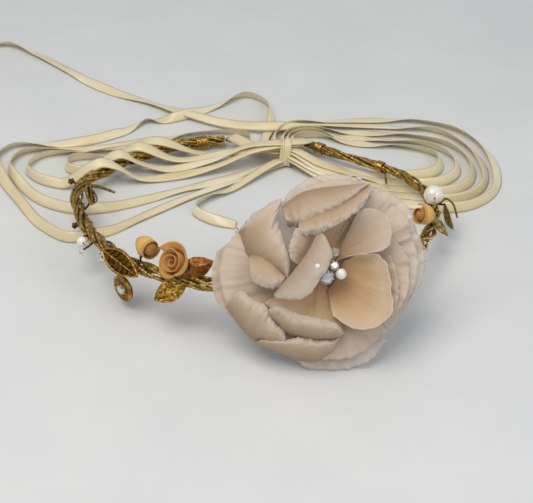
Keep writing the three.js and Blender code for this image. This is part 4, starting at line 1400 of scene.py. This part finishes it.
# ---------- the middle of the flower ----------
# A claw-set stone, a smaller one, a pearl and a clear bead, sewn on through the felt in one bunch.
stone_place = facing_place(middle_of("centre_rhinestone") + flower_facing * 4 * MM, flower_facing)
fit(cut_stone("cut_centre_rhinestone", 5.4 * MM, stone_place, 10), "root", "crystal", "centre_rhinestone")
fit(
    claw_cup("claws_centre_rhinestone", 5.5 * MM, stone_place, 8, silver),
    "root",
    "silver_setting",
    "centre_stone_cup",
)
stone_place = facing_place(
    middle_of("second_rhinestone") + flower_facing * 1.2 * MM, flower_facing + Vector((0.4, 0, 0.2))
)
fit(cut_stone("cut_second_rhinestone", 3.6 * MM, stone_place), "root", "crystal", "second_rhinestone")
fit(claw_cup("claws_second_rhinestone", 3.7 * MM, stone_place, 5, silver), "root", "silver_setting")
fit(ball("sewn_centre_pearl", middle_of("centre_pearl"), 2.3 * MM, nacre), "root", "pearl", "centre_pearl")


def in_flower(x, y, z):
    return flower_place @ (Vector((x, y, z)) * MM)


fit(ball("sewn_seed_pearl", in_flower(-1.4, 2.2, 12.6), 1.1 * MM, nacre), "root", "pearl")
fit(ball("sewn_clear_bead", in_flower(6, 8, 8), 1.9 * MM, clear_glass), "root", "crystal")

# The discs are wool felt, punched out and glued on either side of the vine; the core is rolled felt.
wool_felt = mottled(
    "ivory_wool_felt", ["#d8cfbe", "#e9e2d3"], 1.2 * MM, 0.25 * MM, {"Roughness": 0.95, "Sheen Weight": 0.4}
)
for node in ("felt_disc_front", "felt_disc_back", "flower_core"):
    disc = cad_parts[node]
    disc.data.materials.clear()
    disc.data.materials.append(wool_felt)

# ---------- the wires and clear beads at the flower's edge ----------
# Small clear beads of pressed glass, strung on fine gold wire in threes. One bunch stands out from the
# vine on each side of the flower and one behind its top.
def bead_spray(name, root, tips):
    pieces = []
    for tip, size in tips:
        middle = (root + tip) / 2 + Vector((0, 0, 1.2)) * MM
        pieces.append(tube(f"{name}_wire", [root, middle, tip], 0.22 * MM, wire_gold, sides=6))
        pieces.append(ball(f"{name}_bead", tip, size * MM, clear_glass, 14))
    fit(joined(name, pieces), "root", "crystal")


bead_spray(
    "bead_spray_left",
    in_flower(-29, 10, -11),
    [(in_flower(-34.6, 16.4, -7), 0.9), (in_flower(-36.2, 13.8, -7), 0.7), (in_flower(-35, 18.6, -8), 0.6)],
)
bead_spray(
    "bead_spray_right",
    in_flower(40, 12, -12),
    [(in_flower(46, 11.5, -8), 0.9), (in_flower(47.4, 13.6, -9), 0.7), (in_flower(45, 9, -8), 0.7)],
)
bead_spray(
    "bead_spray_top",
    in_flower(17, 30, -14),
    [(in_flower(16.6, 38.8, -9), 1.3), (in_flower(22.4, 35.8, -9), 0.8), (in_flower(13, 40, -10), 0.8)],
)

# ---------- the tails that hold the trims ----------
# Each leaf, bud, bead and stone is on a tail of foil-wound wire, and the tail is wound in between
# the vine's cords. It runs from the trim's closest point to the vine's middle.
HELD = ["cast_openwork_leaf_front", "cast_openwork_leaf_side", "pressed_foil_leaf", "pressed_rose_leaf"]
HELD += ["pressed_ribbed_leaf", "pressed_edge_leaf", "wire_stem_end_right", "wire_twig_right"]
HELD += ["wire_twig_left", "berry_bead_setting_rear", "berry_bead_setting_side", "pearl_right_pin"]
HELD += ["pearl_left_pin", "claws_small_rhinestone", "pressed_crystal_bead", "pressed_clear_bead"]
HELD += ["brass_rosebud_left_calyx", "brass_rosebud_right_calyx", "brass_rose_calyx"]
HELD += ["bead_spray_left", "bead_spray_right", "bead_spray_top", "bent_charm_eye"]
tails = []
for name in HELD:
    corners = np.array([vertex.co for vertex in bpy.data.objects[name].data.vertices])
    gaps = np.linalg.norm(corners[:, None] - vine_line[None, ::4], axis=2)
    corner, place = np.unravel_index(gaps.argmin(), gaps.shape)
    start, end = Vector(corners[corner]), Vector(vine_line[place * 4])
    bend = start.lerp(end, 0.5) + Vector((0.6, 0.4, -0.5)) * MM
    tails.append(tube(f"{name}_tail", [start, bend, end], (0.45 * MM, 0.7 * MM), vein_gold, sides=6))
fit(joined("wound_tails", tails), "root", "antique_gold_stem")
